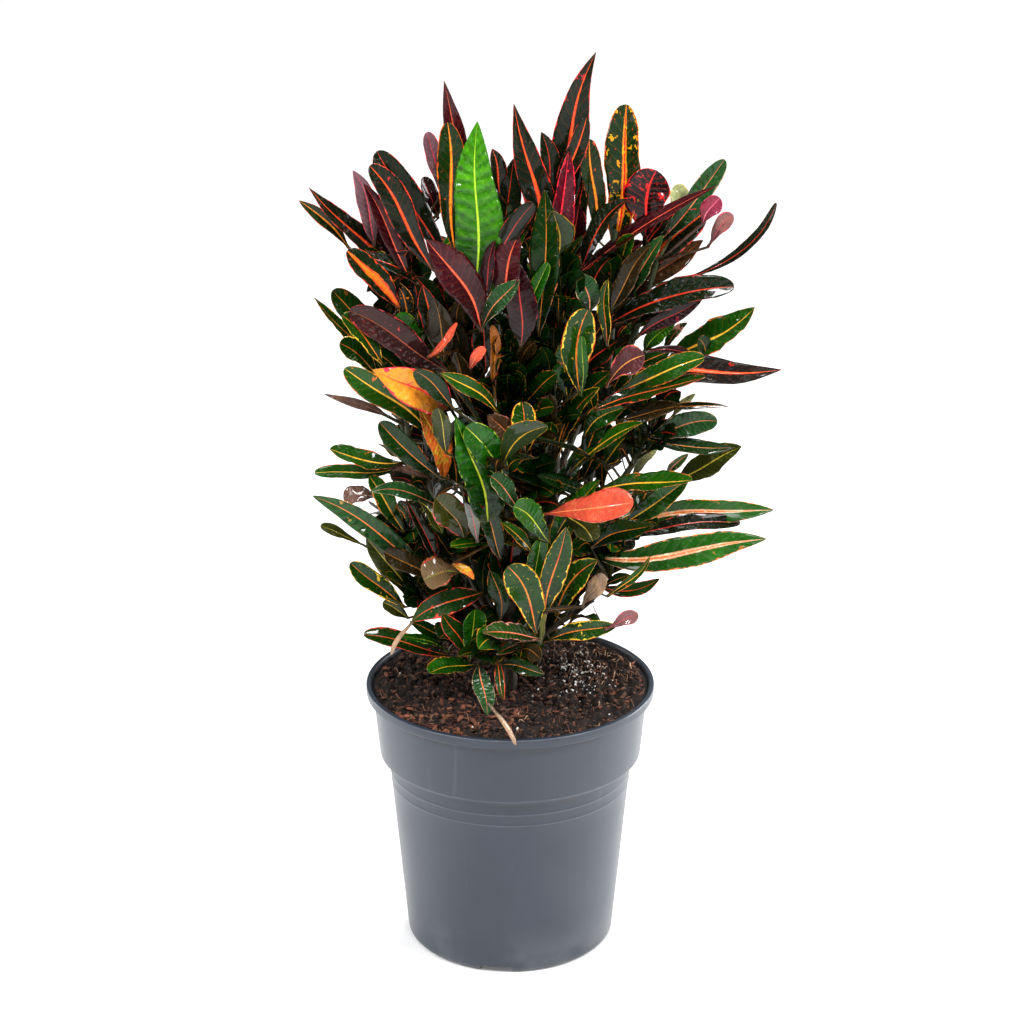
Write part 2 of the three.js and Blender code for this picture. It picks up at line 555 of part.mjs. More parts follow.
/** Tapered round branch. */
function branchSolid({ thick, curve }, sides, steps) {
  const rings = [];
  for (let i = 0; i <= steps; i += 1) {
    const share = i / steps;
    const centre = curve.getPoint(share);
    const along = curve.getTangent(share);
    const side = new THREE.Vector3(0, 1, 0).cross(along).normalize();
    const over = along.clone().cross(side);
    const radius = THREE.MathUtils.lerp(thick[0], thick[1], share);
    const ring = Array.from({ length: sides }, (_, k) => centre.clone()
      .addScaledVector(side, radius * Math.cos((2 * Math.PI * k) / sides))
      .addScaledVector(over, radius * Math.sin((2 * Math.PI * k) / sides)));
    if (i === 0) {
      rings.push([centre.clone()]);
    }
    rings.push(ring);
    if (i === steps) {
      rings.push([centre.clone().addScaledVector(along, radius)]);
    }
  }
  return loft(rings, () => true);
}

/** Nearest point to a blade's base on a plant's branches, a petiole's rise below it. */
function rootOf(base, lines) {
  const wanted = base.clone();
  wanted.z -= PETIOLE_RISE;
  let best = null;
  lines.forEach((line, which) => {
    for (let i = which === 0 ? 6 : 1; i <= 20; i += 1) {
      const point = line.curve.getPoint(i / 20);
      if (best === null || point.distanceTo(wanted) < best.distanceTo(wanted)) {
        best = point;
      }
    }
  });
  return best;
}

/** Half width of a blade as a share of its widest, 0 at both ends. */
function outline(shape, t) {
  const [basePower, tipPower] = SHAPES[shape];
  const widest = basePower / (basePower + tipPower);
  const scale = widest ** basePower * (1 - widest) ** tipPower;
  return (t ** basePower * (1 - t) ** tipPower) / scale;
}

/** One leaf: a petiole from the branch, then a folded, waved, arched and swayed blade with a sharp edge. */
function leafSolid(plant, leaf) {
  const { root, base, tip, width, arch, shape, face, phase, twist } = leaf;
  const span = tip.clone().sub(base);
  const forward = span.clone().normalize();
  const lift = new THREE.Vector3(0, 0, 1).projectOnPlane(forward).normalize();
  const middle = base.clone().add(tip).multiplyScalar(0.5).addScaledVector(lift, 2 * arch);
  const curve = new THREE.QuadraticBezierCurve3(base, middle, tip);
  const sideways = face.clone().projectOnPlane(forward).normalize().cross(forward);
  const bow = Math.sin(3 * phase) * SWAY * span.length();
  const bend = 0.5 * Math.cos(3 * phase) * SWAY * span.length();
  const halfAt = (t) => Math.max(PETIOLE_HALF_WIDTH * (1 - t), (width / 2) * outline(shape, t));
  const swayAt = (t) => bow * Math.sin(Math.PI * t) + bend * Math.sin(2 * Math.PI * t);
  const centreAt = (t) => {
    const swayed = curve.getPoint(t).addScaledVector(sideways, swayAt(t));
    return plant.keepIn(swayed, halfAt(t) + SIDE_GAP);
  };
  const sectionAt = (t) => {
    const centre = centreAt(t);
    const along = centreAt(Math.min(1, t + 0.04)).sub(centreAt(Math.max(0, t - 0.04))).normalize();
    const up = face.clone().projectOnPlane(along).normalize().applyAxisAngle(along, twist * (t - 0.4));
    const side = up.clone().cross(along);
    const half = halfAt(t);
    const wave = width * WAVE * Math.sin(Math.PI * t);
    const turn = 2 * Math.PI * WAVES_PER_BLADE * t + phase;
    const thickness = t === 0 ? PETIOLE_THICKNESS : BLADE_THICKNESS;
    return [
      centre.clone().addScaledVector(side, -half).addScaledVector(up, FOLD * half + wave * Math.sin(turn)),
      centre.clone().addScaledVector(up, -thickness / 2),
      centre.clone().addScaledVector(side, half).addScaledVector(up, FOLD * half + wave * Math.sin(turn + 2)),
      centre.clone().addScaledVector(up, thickness / 2),
    ];
  };
  const length = span.length();
  const size = length > LONG_LENGTH ? 'long' : 'medium';
  const stations = BLADE_STATIONS[length < MEDIUM_LENGTH ? 'short' : size];
  const rings = [[root], sectionAt(0), ...stations.map(sectionAt), [centreAt(1)]];
  return loft(rings, (corner) => corner % 2 === 0);
}

/** Leaves laid out from the front, then extra ones drawn by rule along the branches. */
function leavesOf(plant, lines) {
  const draw = seededDraw(plant.seed);
  const between = (low, high) => low + (high - low) * draw();
  const toEye = EYE.clone().normalize();
  const laidOut = plant.name === 'croton_front' ? LEAVES : [];
  const leaves = laidOut.map(([a0, u0, d0, a1, u1, d1, width, arch, shape]) => {
    const base = seen(a0, u0, d0);
    const tip = seen(a1, u1, d1);
    const along = tip.clone().sub(base).normalize();
    const face = toEye.clone().addScaledVector(new THREE.Vector3(0, 0, 1), 0.35).projectOnPlane(along);
    face.normalize().applyAxisAngle(along, between(-0.45, 0.45));
    const phase = between(0, 6.28);
    const twist = between(-0.75, 0.75);
    return { base, tip, width, arch, shape, face, phase, twist };
  });
  for (let i = 0; i < plant.extra; i += 1) {
    leaves.push(extraLeaf(plant, lines, i, between));
  }
  leaves.forEach((leaf) => {
    leaf.base = plant.keepIn(leaf.base, PETIOLE_HALF_WIDTH + SIDE_GAP);
    leaf.root = rootOf(leaf.base, lines);
  });
  return leaves;
}

/** A leaf drawn by rule: round its branch by the golden angle, steeper when higher, its tip in the crown. */
function extraLeaf(plant, lines, i, between) {
  const line = lines[i % lines.length];
  const onTrunk = line === lines[0];
  const share = onTrunk ? between(0.35, 1) : between(0.25, 1);
  const start = line.curve.getPoint(share);
  const turn = i * 2.39996 + between(-0.3, 0.3);
  const high = THREE.MathUtils.clamp((start.z - 280) / 340, 0, 1);
  const steep = THREE.MathUtils.lerp(0.25, 1.15, high) + between(-0.2, 0.2);
  const outward = plant.out.clone().applyAxisAngle(new THREE.Vector3(0, 0, 1), 0.9 * Math.sin(turn));
  const along = outward.multiplyScalar(Math.cos(steep)).add(new THREE.Vector3(0, 0, Math.sin(steep)));
  const base = start.clone().addScaledVector(along, 16);
  let length = between(62, 104) + 14 * high;
  for (let i = 0; i < CROWN.tries; i += 1) {
    if (outsideCrown(base.clone().addScaledVector(along, length))) {
      length *= CROWN.shrink;
    }
  }
  const tip = base.clone().addScaledVector(along, length);
  const face = new THREE.Vector3(0, 0, 1).addScaledVector(plant.out, -0.4).projectOnPlane(along);
  face.normalize().applyAxisAngle(along, between(-0.5, 0.5));
  const shapes = ['lance', 'lance', 'strap', 'round', 'spire', 'lance', 'spoon'];
  return {
    base,
    tip,
    width: between(15, 26),
    arch: between(2, 8),
    shape: shapes[i % shapes.length],
    face,
    phase: between(0, 6.28),
    twist: between(-0.75, 0.75),
  };
}

/** One rooted plant: its branches with every leaf sunk into them. */
function plantBody(plant) {
  const lines = branches(plant);
  const wood = lines.map((line, which) => (which === 0 ? branchSolid(line, 8, 7) : branchSolid(line, 5, 4)));
  const leaves = leavesOf(plant, lines).map((leaf) => leafSolid(plant, leaf));
  return outerSkin(joined([...wood, ...leaves]));
}

/** Mesh of one named piece with its finish. */
function piece(name, geometry, finish) {
  const mesh = new THREE.Mesh(geometry, new THREE.MeshStandardMaterial({ ...finish, metalness: 0 }));
  mesh.name = name;
  return mesh;
}

const potPlastic = { color: 0x5c636d, roughness: 0.55 };
const pottingSoil = { color: 0x2d211c, roughness: 0.95 };
const foliage = { color: 0x2c4a1e, roughness: 0.32 };

const pottedCroton = new THREE.Group();
const sectors = PLANTS.map(sector);
pottedCroton.add(piece('pot', pot(), potPlastic));
pottedCroton.add(piece('soil', soil(sectors), pottingSoil));
sectors.forEach((plant) => pottedCroton.add(piece(plant.name, plantBody(plant), foliage)));

export default pottedCroton;
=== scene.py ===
"""A potted croton: a nursery pot, potting mix and three leafy plants, dressed for the camera.

Lengths in the tables are millimetres, as on a drawing; meshes are in metres.
"""
import math

import bpy
import numpy as np
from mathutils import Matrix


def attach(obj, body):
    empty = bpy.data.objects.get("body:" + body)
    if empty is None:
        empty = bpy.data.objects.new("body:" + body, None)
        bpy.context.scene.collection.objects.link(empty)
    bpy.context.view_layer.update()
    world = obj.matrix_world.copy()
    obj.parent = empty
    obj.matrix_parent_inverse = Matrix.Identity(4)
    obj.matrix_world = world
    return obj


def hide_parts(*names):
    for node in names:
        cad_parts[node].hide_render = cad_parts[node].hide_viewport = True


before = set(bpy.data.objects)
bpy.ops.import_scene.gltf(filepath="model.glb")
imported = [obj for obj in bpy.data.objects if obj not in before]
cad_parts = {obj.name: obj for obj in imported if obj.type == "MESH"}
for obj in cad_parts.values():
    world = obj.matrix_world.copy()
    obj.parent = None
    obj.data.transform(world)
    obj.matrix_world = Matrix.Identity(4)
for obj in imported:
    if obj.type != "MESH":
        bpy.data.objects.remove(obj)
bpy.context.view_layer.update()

MM = 0.001
UP = np.array([0.0, 0.0, 1.0])
FULL_TURN = 2 * math.pi

# Pot
POT_HEIGHT = 229.0
LIP_RADIUS = 120.0
LIP_INNER_RADIUS = 115.6
LIP_DEPTH = 8.0
COLLAR_TOP_RADIUS = 114.0
COLLAR_FOOT_RADIUS = 109.3
COLLAR_FOOT_HEIGHT = 169.0
STEP_RADIUS = 103.0
STEP_HEIGHT = 166.0
BASE_RADIUS = 87.0
BASE_ROUND = 7.0
WALL = 1.8
FLOOR = 2.4
RING_HEIGHTS = (153.0, 143.0)
RING_RISE = 0.35
RING_HALF_WIDTH = 1.3
NOTCH_COUNT = 4
NOTCH_WIDTH = 27.0
NOTCH_HEIGHT = 6.0
NOTCH_DEPTH = 16.0
NOTCH_TURN = math.radians(-98)
NOTCH_SLOPE = math.radians(1.25)

# Soil
SOIL_HEIGHT = 225.0
SOIL_RADIUS = 114.0
ROOT_DEPTH = 42.0
CLEARANCE = 0.35
ROOT_FOOT = SOIL_HEIGHT - ROOT_DEPTH + CLEARANCE
STEM_CLEAR = SOIL_HEIGHT + 5.0
SOIL_FOOT = 12.0
CRUMBLE_SEED = 5
CRUMBLE_WAVES = 70
LITTER_SEED = 17
LUMP_ROWS = 3
LUMP_COLUMNS = 6
FIBRE_ROWS = 6
FIBRE_COLUMNS = 4

# Fineness of the turned surfaces
POT_COLUMNS = 288
SOIL_COLUMNS = 300
SOIL_RINGS = 84

# The eye that the leaves are laid out from, and the sheet square to its line of sight
EYE = np.array([1.5, -2400.0, 1289.0])
EYE_TILT = math.radians(20.77)
SHEET_DISTANCE = 2619.0
SHEET_CENTRE = (1.7, 383.3)
FOCAL_PIXELS = 3143.0
PHOTO_PIXELS = 1024.0

# Clump: three plants round an upright line just behind the pot's axis, each in its own sector
CLUMP_DEPTH = 20.0

# Branches: thickness at both ends, then distance out, turn from the sector's middle in degrees, height
FRONT_BRANCHES = [
    ((6.5, 3.0), [(28, 0, ROOT_FOOT), (28, 0, STEM_CLEAR), (29, 0, 252), (38, 0, 330), (46, 0, 430),
                  (42, 0, 530), (36, 0, 640)]),
    ((4.6, 2.6), [(31, 0, 262), (40, -35, 310), (58, -60, 370), (74, -66, 450), (82, -68, 530),
                  (84, -68, 610)]),
    ((4.6, 2.6), [(31, 0, 256), (40, 35, 306), (60, 60, 366), (78, 65, 450), (88, 66, 540), (90, 66, 620)]),
    ((3.6, 2.0), [(42, 0, 384), (48, -30, 440), (60, -36, 520), (62, -36, 600)]),
    ((3.6, 2.0), [(41, 0, 372), (50, 30, 432), (62, 36, 520), (66, 38, 606)]),
    ((3.2, 1.8), [(30, 0, 248), (50, -40, 280), (72, -52, 300), (92, -56, 326)]),
    ((3.2, 1.8), [(30, 0, 252), (52, 40, 284), (76, 52, 306), (98, 56, 332)]),
    ((3.0, 1.8), [(30, 0, 245), (52, -4, 264), (76, -4, 278), (94, 0, 296)]),
    ((3.4, 2.0), [(39, 0, 340), (66, -8, 376), (88, -8, 420), (98, -6, 470)]),
    ((3.4, 2.0), [(58, -60, 370), (76, -64, 400), (88, -66, 440), (92, -67, 486)]),
    ((3.4, 2.0), [(60, 60, 366), (86, 63, 396), (112, 65, 436), (128, 68, 482)]),
    ((3.2, 2.0), [(76, -66, 470), (98, -69, 530), (112, -71, 590)]),
    ((3.2, 2.0), [(80, 65, 470), (104, 68, 530), (122, 71, 596)]),
    ((3.0, 1.8), [(50, -50, 342), (80, -62, 352), (104, -66, 372)]),
    ((3.0, 1.8), [(50, 48, 334), (84, 60, 348), (110, 65, 372)]),
]
BACK_BRANCHES = [
    ((6.5, 3.0), [(28, 0, ROOT_FOOT), (28, 0, STEM_CLEAR), (30, 0, 252), (44, 0, 340), (52, 0, 440),
                  (50, 0, 520), (46, 0, 580)]),
    ((3.2, 2.0), [(33, 0, 258), (56, -22, 300), (80, -28, 330)]),
    ((3.2, 2.0), [(34, 0, 268), (58, 22, 310), (84, 28, 342)]),
    ((3.6, 2.0), [(41, 0, 320), (64, -26, 370), (88, -32, 430), (100, -32, 490)]),
    ((3.6, 2.0), [(43, 0, 332), (66, 26, 382), (90, 32, 442), (102, 32, 500)]),
    ((3.4, 2.0), [(48, 0, 384), (76, 2, 424), (98, 0, 470), (108, 0, 522)]),
    ((3.4, 2.0), [(51, 0, 440), (64, -28, 490), (78, -34, 540), (84, -34, 584)]),
    ((3.4, 2.0), [(52, 0, 450), (64, 28, 500), (80, 34, 550), (86, 34, 592)]),
    ((3.2, 2.0), [(36, 0, 284), (62, 0, 302), (88, 0, 326)]),
]
PLANTS = [
    dict(name="croton_front", start=-174, end=-6, branches=FRONT_BRANCHES, seed=11, extra=12, infill=260,
         infill_half_depth=92.0, bridging=84),
    dict(name="croton_back_right", start=-6, end=90, branches=BACK_BRANCHES, seed=37, extra=26, infill=100,
         infill_half_depth=150.0, bridging=44),
    dict(name="croton_back_left", start=90, end=186, branches=BACK_BRANCHES, seed=41, extra=26, infill=100,
         infill_half_depth=150.0, bridging=44),
]

# Dense part of the crown as the eye sees it: an ellipse on the sheet that holds the tips drawn by rule
CROWN_MIDDLE = 450.0
CROWN_HALF_WIDTH = 125.0
CROWN_HALF_HEIGHT = 200.0
CROWN_TRIES = 5
CROWN_SHRINK = 0.8

# Leaves drawn by rule: steeper from one height on, and over a rise of so much
GOLDEN_ANGLE = 2.39996
STEEP_FROM = 280.0
STEEP_RISE = 340.0
PETIOLE_LENGTH = 16.0

# Infill: short leaves deep in each plant
INFILL_SEED_STEP = 500
INFILL_SCALE = 0.75
INFILL_REACH = 0.95
INFILL_CROWN = 0.84

# Leaves that reach over the middle of the clump, so that no bare slot shows between the plants from the side
BRIDGING_SEED_STEP = 900
BRIDGING_PETIOLE_LENGTH = 12.0
BRIDGING_GAP = -34.0

# Half width along a blade, as base power and tip power of one formula
SHAPES = {
    "lance": (0.95, 0.85),
    "spire": (0.62, 1.0),
    "strap": (0.8, 0.45),
    "round": (0.85, 0.42),
    "spoon": (1.5, 0.5),
    "broad": (0.65, 0.9),
    "drop": (0.45, 0.95),
}

# Leaves as seen from the front: across and up on the sheet, and depth from the clump's line, of the
# blade's base and of its tip; then its width, how far it arches, its shape and its colouring
LEAVES = [
    (-30, 566, -72, -27, 709, -62, 37, 6, "broad", "fresh"),
    (-24, 533, -85, -70, 610, -105, 31, 6, "lance", "wine"),
    (-6, 556, -82, 8, 615, -84, 26, 4, "lance", "wine"),
    (9, 521, -78, 8, 590, -75, 25, 5, "lance", "maroon"),
    (-22, 538, -88, 8, 577, -92, 17, 3, "lance", "sheen"),
    (-21, 560, -80, -12, 610, -80, 12, 2, "lance", "maroon"),
    (14, 528, -74, 32, 591, -72, 12, 3, "strap", "bright"),
    (24, 530, -66, 29, 652, -56, 25, 4, "lance", "deep"),
    (27, 601, -45, 3, 724, -40, 25, 3, "spire", "ember"),
    (33, 630, -34, 26, 700, -32, 19, 3, "lance", "night"),
    (0, 589, -38, 3, 678, -30, 21, 3, "lance", "night"),
    (-9, 648, -36, -15, 686, -38, 14, 1, "lance", "ember"),
    (-13, 485, -75, -15, 539, -75, 9, 2, "strap", "amber"),
    (-10, 465, -85, -58, 499, -105, 15, 4, "lance", "lined"),
    (-19, 375, -105, -46, 463, -110, 36, 5, "drop", "bright"),
    (-2, 409, -98, -37, 454, -112, 25, 5, "round", "bright"),
    (4, 431, -90, -19, 464, -95, 20, 4, "lance", "brown"),
    (13, 431, -92, 10, 475, -90, 20, 3, "round", "rimmed"),
    (7, 385, -105, -16, 413, -112, 17, 3, "round", "sheen"),
    (32, 358, -105, 3, 388, -120, 22, 3, "round", "bright"),
    (-27, 358, -100, -38, 391, -112, 10, 4, "lance", "ash"),
    (18, 350, -95, -8, 375, -100, 12, 3, "lance", "lined"),
    (-48, 340, -96, -30, 327, -102, 8, 3, "lance", "sunset"),
    (-43, 333, -88, -72, 327, -96, 29, 3, "round", "tan"),
    (22, 281, -88, -2, 338, -98, 28, 4, "round", "rimmed"),
    (22, 293, -80, 26, 362, -86, 17, 3, "strap", "bright"),
    (29, 296, -82, 47, 371, -95, 22, 4, "lance", "rimmed"),
    (25, 277, -92, -23, 283, -115, 20, 1, "lance", "blush"),
    (25, 273, -88, 30, 298, -92, 5, 1, "strap", "khaki"),
    (-7, 256, -90, 29, 248, -108, 12, 3, "lance", "deep"),
    (8, 273, -85, -11, 264, -104, 9, 3, "lance", "edged"),
    (-26, 257, -98, -19, 214, -126, 16, 4, "lance", "sheen"),
    (-11, 259, -98, -5, 226, -122, 8, 3, "lance", "edged"),
    (-33, 260, -75, -29, 302, -80, 20, 3, "round", "bright"),
    (-35, 262, -70, -57, 299, -95, 17, 3, "lance", "edged"),
    (-29, 256, -62, -67, 249, -88, 19, 2, "round", "leaf"),
    (41, 629, -22, 72, 767, -25, 28, 2, "spire", "ember"),
    (38, 630, -32, 64, 712, -34, 15, 3, "strap", "ember"),
    (46, 583, -44, 49, 684, -40, 20, 4, "lance", "crimson"),
    (33, 635, -24, 42, 674, -24, 12, 2, "lance", "crimson"),
    (71, 612, -24, 66, 694, -24, 18, 2, "strap", "striped"),
    (42, 572, -48, 61, 614, -50, 10, 2, "lance", "deep"),
    (86, 600, -28, 97, 723, -28, 31, 0, "strap", "gold"),
    (113, 611, -40, 122, 668, -40, 35, 3, "round", "ruby"),
    (143, 628, -20, 137, 655, -22, 17, 2, "round", "cream"),
    (121, 605, -28, 179, 677, -34, 17, 1, "strap", "sheen"),
    (161, 624, -58, 175, 645, -60, 15, 2, "round", "pink"),
    (165, 604, -32, 186, 631, -36, 13, 2, "spoon", "rosy"),
    (50, 576, -35, 174, 656, -70, 15, 1, "spire", "wine"),
    (115, 584, -26, 166, 636, -34, 28, 3, "lance", "ember"),
    (98, 559, -30, 161, 610, -30, 20, 4, "lance", "brown"),
    (96, 558, -45, 128, 614, -55, 18, 4, "lance", "sheen"),
    (84, 551, -60, 118, 606, -70, 18, 4, "lance", "umber"),
    (60, 586, -50, 98, 644, -55, 20, 5, "lance", "night"),
    (150, 579, -30, 222, 641, -42, 9, -14, "strap", "night"),
    (82, 539, -50, 187, 571, -60, 27, 11, "strap", "night"),
    (106, 529, -60, 160, 560, -68, 13, 3, "lance", "maroon"),
    (132, 511, -32, 204, 554, -32, 30, -5, "lance", "lined"),
    (112, 517, -40, 139, 543, -44, 15, 3, "lance", "fresh"),
    (127, 517, -30, 148, 541, -32, 9, 2, "lance", "pale"),
    (81, 522, -60, 82, 578, -60, 11, 2, "lance", "rimmed"),
    (66, 550, -60, 57, 582, -62, 20, 3, "lance", "sheen"),
    (58, 483, -70, 65, 552, -75, 26, 4, "strap", "rimmed"),
    (59, 480, -78, 60, 530, -82, 8, 2, "strap", "bright"),
    (80, 487, -88, 112, 514, -102, 23, 3, "spoon", "plum"),
    (113, 516, -60, 158, 512, -60, 7, 3, "lance", "maroon"),
    (163, 511, -40, 157, 528, -42, 13, 3, "round", "deep"),
    (88, 482, -74, 162, 512, -92, 19, 4, "strap", "lined"),
    (70, 468, -76, 163, 496, -98, 21, 4, "strap", "edged"),
    (106, 502, -50, 227, 502, -50, 24, 1, "spire", "coal"),
    (125, 473, -30, 182, 471, -36, 7, 1, "lance", "striped"),
    (94, 460, -80, 143, 472, -95, 15, -1, "lance", "umber"),
    (117, 446, -60, 173, 459, -70, 20, 2, "strap", "sheen"),
    (112, 444, -60, 187, 437, -70, 13, 0, "lance", "deep"),
    (138, 410, -40, 193, 438, -50, 24, -2, "lance", "olive"),
    (102, 413, -24, 129, 441, -28, 13, 3, "strap", "cream"),
    (135, 462, -28, 155, 482, -28, 8, 2, "lance", "cream"),
    (117, 441, -32, 134, 483, -34, 8, 2, "strap", "olive"),
    (18, 389, -28, 111, 458, -100, 24, 5, "lance", "lined"),
    (38, 427, -48, 75, 487, -70, 18, 5, "lance", "rimmed"),
    (75, 402, -75, 152, 410, -95, 22, 0, "strap", "lined"),
    (96, 374, -62, 150, 412, -85, 19, 2, "lance", "leaf"),
    (131, 412, -40, 149, 432, -42, 8, 2, "lance", "pale"),
    (26, 381, -88, 103, 391, -120, 28, 3, "spoon", "coral"),
    (100, 371, -32, 220, 385, -42, 21, 9, "lance", "lily"),
    (46, 380, -78, 69, 359, -92, 22, 3, "round", "olive"),
    (68, 353, -80, 121, 372, -95, 18, 4, "lance", "deep"),
    (70, 346, -60, 214, 361, -60, 27, -6, "lance", "lily"),
    (90, 362, -50, 192, 374, -45, 15, 1.5, "strap", "night"),
    (81, 313, -70, 117, 347, -75, 7, -4, "lance", "lined"),
    (75, 321, -60, 125, 328, -60, 12, -5, "lance", "edged"),
    (38, 297, -60, 73, 343, -92, 24, 4, "lance", "rimmed"),
    (60, 303, -70, 81, 328, -92, 18, 2, "spoon", "beige"),
    (24, 300, -86, 60, 304, -90, 5, 2, "lance", "umber"),
    (33, 277, -70, 90, 289, -92, 16, 0, "lance", "rimmed"),
    (79, 285, -90, 107, 298, -96, 12, 0, "spoon", "rosy"),
    (-50, 643, -20, -55, 743, -20, 19, 3, "spire", "wine"),
    (-46, 600, -36, -52, 708, -32, 22, 3, "strap", "striped"),
    (-58, 648, -18, -69, 700, -20, 14, 3, "strap", "mauve"),
    (-60, 628, -18, -73, 662, -20, 15, 2, "round", "maroon"),
    (-54, 592, -40, -111, 684, -45, 26, 3, "strap", "night"),
    (-65, 586, -52, -117, 672, -58, 22, 3, "strap", "ember"),
    (-113, 606, -40, -131, 668, -44, 16, 3, "lance", "mauve"),
    (-83, 577, -50, -122, 657, -50, 15, 4, "lance", "wine"),
    (-94, 590, -34, -119, 626, -34, 16, 3, "round", "maroon"),
    (-90, 578, -28, -168, 654, -36, 21, -3, "spire", "ember"),
    (-135, 604, -30, -176, 643, -35, 11, 1, "lance", "striped"),
    (-92, 553, -60, -136, 601, -70, 21, 4, "strap", "banded"),
    (-74, 571, -50, -132, 600, -56, 13, 4, "lance", "night"),
    (-85, 539, -50, -98, 577, -50, 13, 3, "lance", "patched"),
    (-73, 516, -60, -96, 546, -66, 20, 3, "round", "bright"),
    (-63, 520, -60, -73, 572, -58, 18, 4, "lance", "ember"),
    (-55, 508, -66, -64, 562, -66, 22, 4, "lance", "umber"),
    (-110, 515, -34, -163, 562, -38, 14, -2, "lance", "rimmed"),
    (-92, 521, -55, -148, 568, -60, 22, -4, "strap", "deep"),
    (-52, 500, -72, -134, 551, -90, 25, 4, "strap", "russet"),
    (-106, 506, -88, -140, 547, -92, 18, 4, "round", "rimmed"),
    (-110, 496, -50, -142, 524, -55, 20, 2, "round", "rimmed"),
    (-69, 512, -92, -44, 541, -84, 8, -4, "strap", "coral"),
    (-33, 503, -84, -20, 519, -88, 9, 2, "round", "coral"),
    (-52, 468, -82, -115, 502, -110, 32, 3, "spire", "flame"),
    (-48, 470, -96, -80, 501, -104, 17, 4, "strap", "deep"),
    (-76, 470, -86, -56, 410, -76, 20, 5, "lance", "sunset"),
    (-53, 432, -96, -60, 470, -98, 17, 2, "round", "olive"),
    (-62, 441, -75, -138, 503, -95, 22, 5, "strap", "lined"),
    (-104, 472, -50, -137, 498, -54, 11, 3, "round", "olive"),
    (-104, 464, -40, -156, 482, -40, 8, 3, "spire", "dry"),
    (-60, 413, -80, -109, 458, -95, 19, 1, "strap", "deep"),
    (-92, 424, -60, -150, 436, -65, 20, -2, "strap", "lined"),
    (-93, 420, -50, -163, 416, -50, 13, -3, "strap", "lined"),
    (-65, 411, -60, -116, 421, -62, 7, 3, "lance", "dry"),
    (-112, 396, -58, -139, 396, -60, 17, 2, "round", "dry"),
    (-57, 387, -70, -117, 400, -92, 13, 5, "lance", "sheen"),
    (-88, 366, -60, -117, 413, -64, 17, 2, "strap", "lined"),
    (-62, 329, -66, -165, 397, -84, 19, 1, "lance", "silver"),
    (-119, 354, -40, -158, 372, -44, 10, 2, "spoon", "olive"),
    (-56, 333, -70, -87, 394, -88, 14, 4, "lance", "night"),
    (-77, 393, -80, -56, 365, -92, 11, 3, "lance", "olive"),
    (-38, 360, -86, -62, 395, -106, 26, 3, "round", "ringed"),
    (-73, 304, -40, -104, 331, -60, 17, 3, "strap", "lined"),
    (-88, 304, -50, -133, 341, -56, 17, -2, "strap", "rimmed"),
    (-82, 316, -48, -120, 362, -54, 20, 3, "lance", "olive"),
    (-85, 295, -50, -106, 308, -55, 12, 2, "round", "olive"),
    (-62, 325, -75, -105, 350, -92, 18, 3, "round", "umber"),
    (-52, 264, -58, -122, 281, -70, 17, 0, "strap", "edged"),
    (-52, 267, -64, -94, 280, -80, 9, 3, "lance", "bright"),
    (-23, 316, -60, -82, 292, -96, 21, 6, "lance", "edged"),
    (-80, 293, -94, -99, 264, -100, 4, 2, "strap", "beige"),
    (25, 477, -40, 42, 535, -45, 18, 4, "lance", "deep"),
    (12, 443, -50, 25, 510, -60, 18, 2, "lance", "deep"),
    (48, 477, -62, 42, 523, -68, 18, 3, "lance", "leaf"),
    (29, 443, -66, 32, 481, -70, 17, 2, "round", "umber"),
    (-8, 343, -90, -25, 393, -100, 18, 4, "lance", "deep"),
    (42, 343, -60, 54, 393, -70, 18, 4, "lance", "leaf"),
    (-33, 460, -60, -46, 518, -65, 20, 4, "lance", "umber"),
    (37, 360, -60, 75, 410, -80, 18, 5, "lance", "leaf"),
    (-8, 293, -70, -17, 335, -80, 16, 4, "lance", "deep"),
    (0, 480, -55, 4, 540, -58, 20, 4, "lance", "deep"),
    (-20, 500, -58, -28, 552, -60, 20, 4, "lance", "night"),
    (40, 520, -52, 50, 575, -54, 19, 4, "lance", "night"),
    (-45, 400, -60, -60, 450, -66, 18, 4, "lance", "deep"),
    (-18, 224, -122, 5, 188, -150, 4, 1, "strap", "beige"),
    (60, 425, -58, 90, 478, -68, 19, 4, "lance", "deep"),
    (62, 446, -60, 96, 470, -74, 17, 4, "lance", "leaf"),
    (0, 322, -52, 3, 372, -56, 22, 3, "lance", "night"),
    (14, 335, -50, 18, 385, -54, 20, 3, "lance", "deep"),
    (18, 418, -46, 16, 464, -48, 22, 3, "lance", "deep"),
]

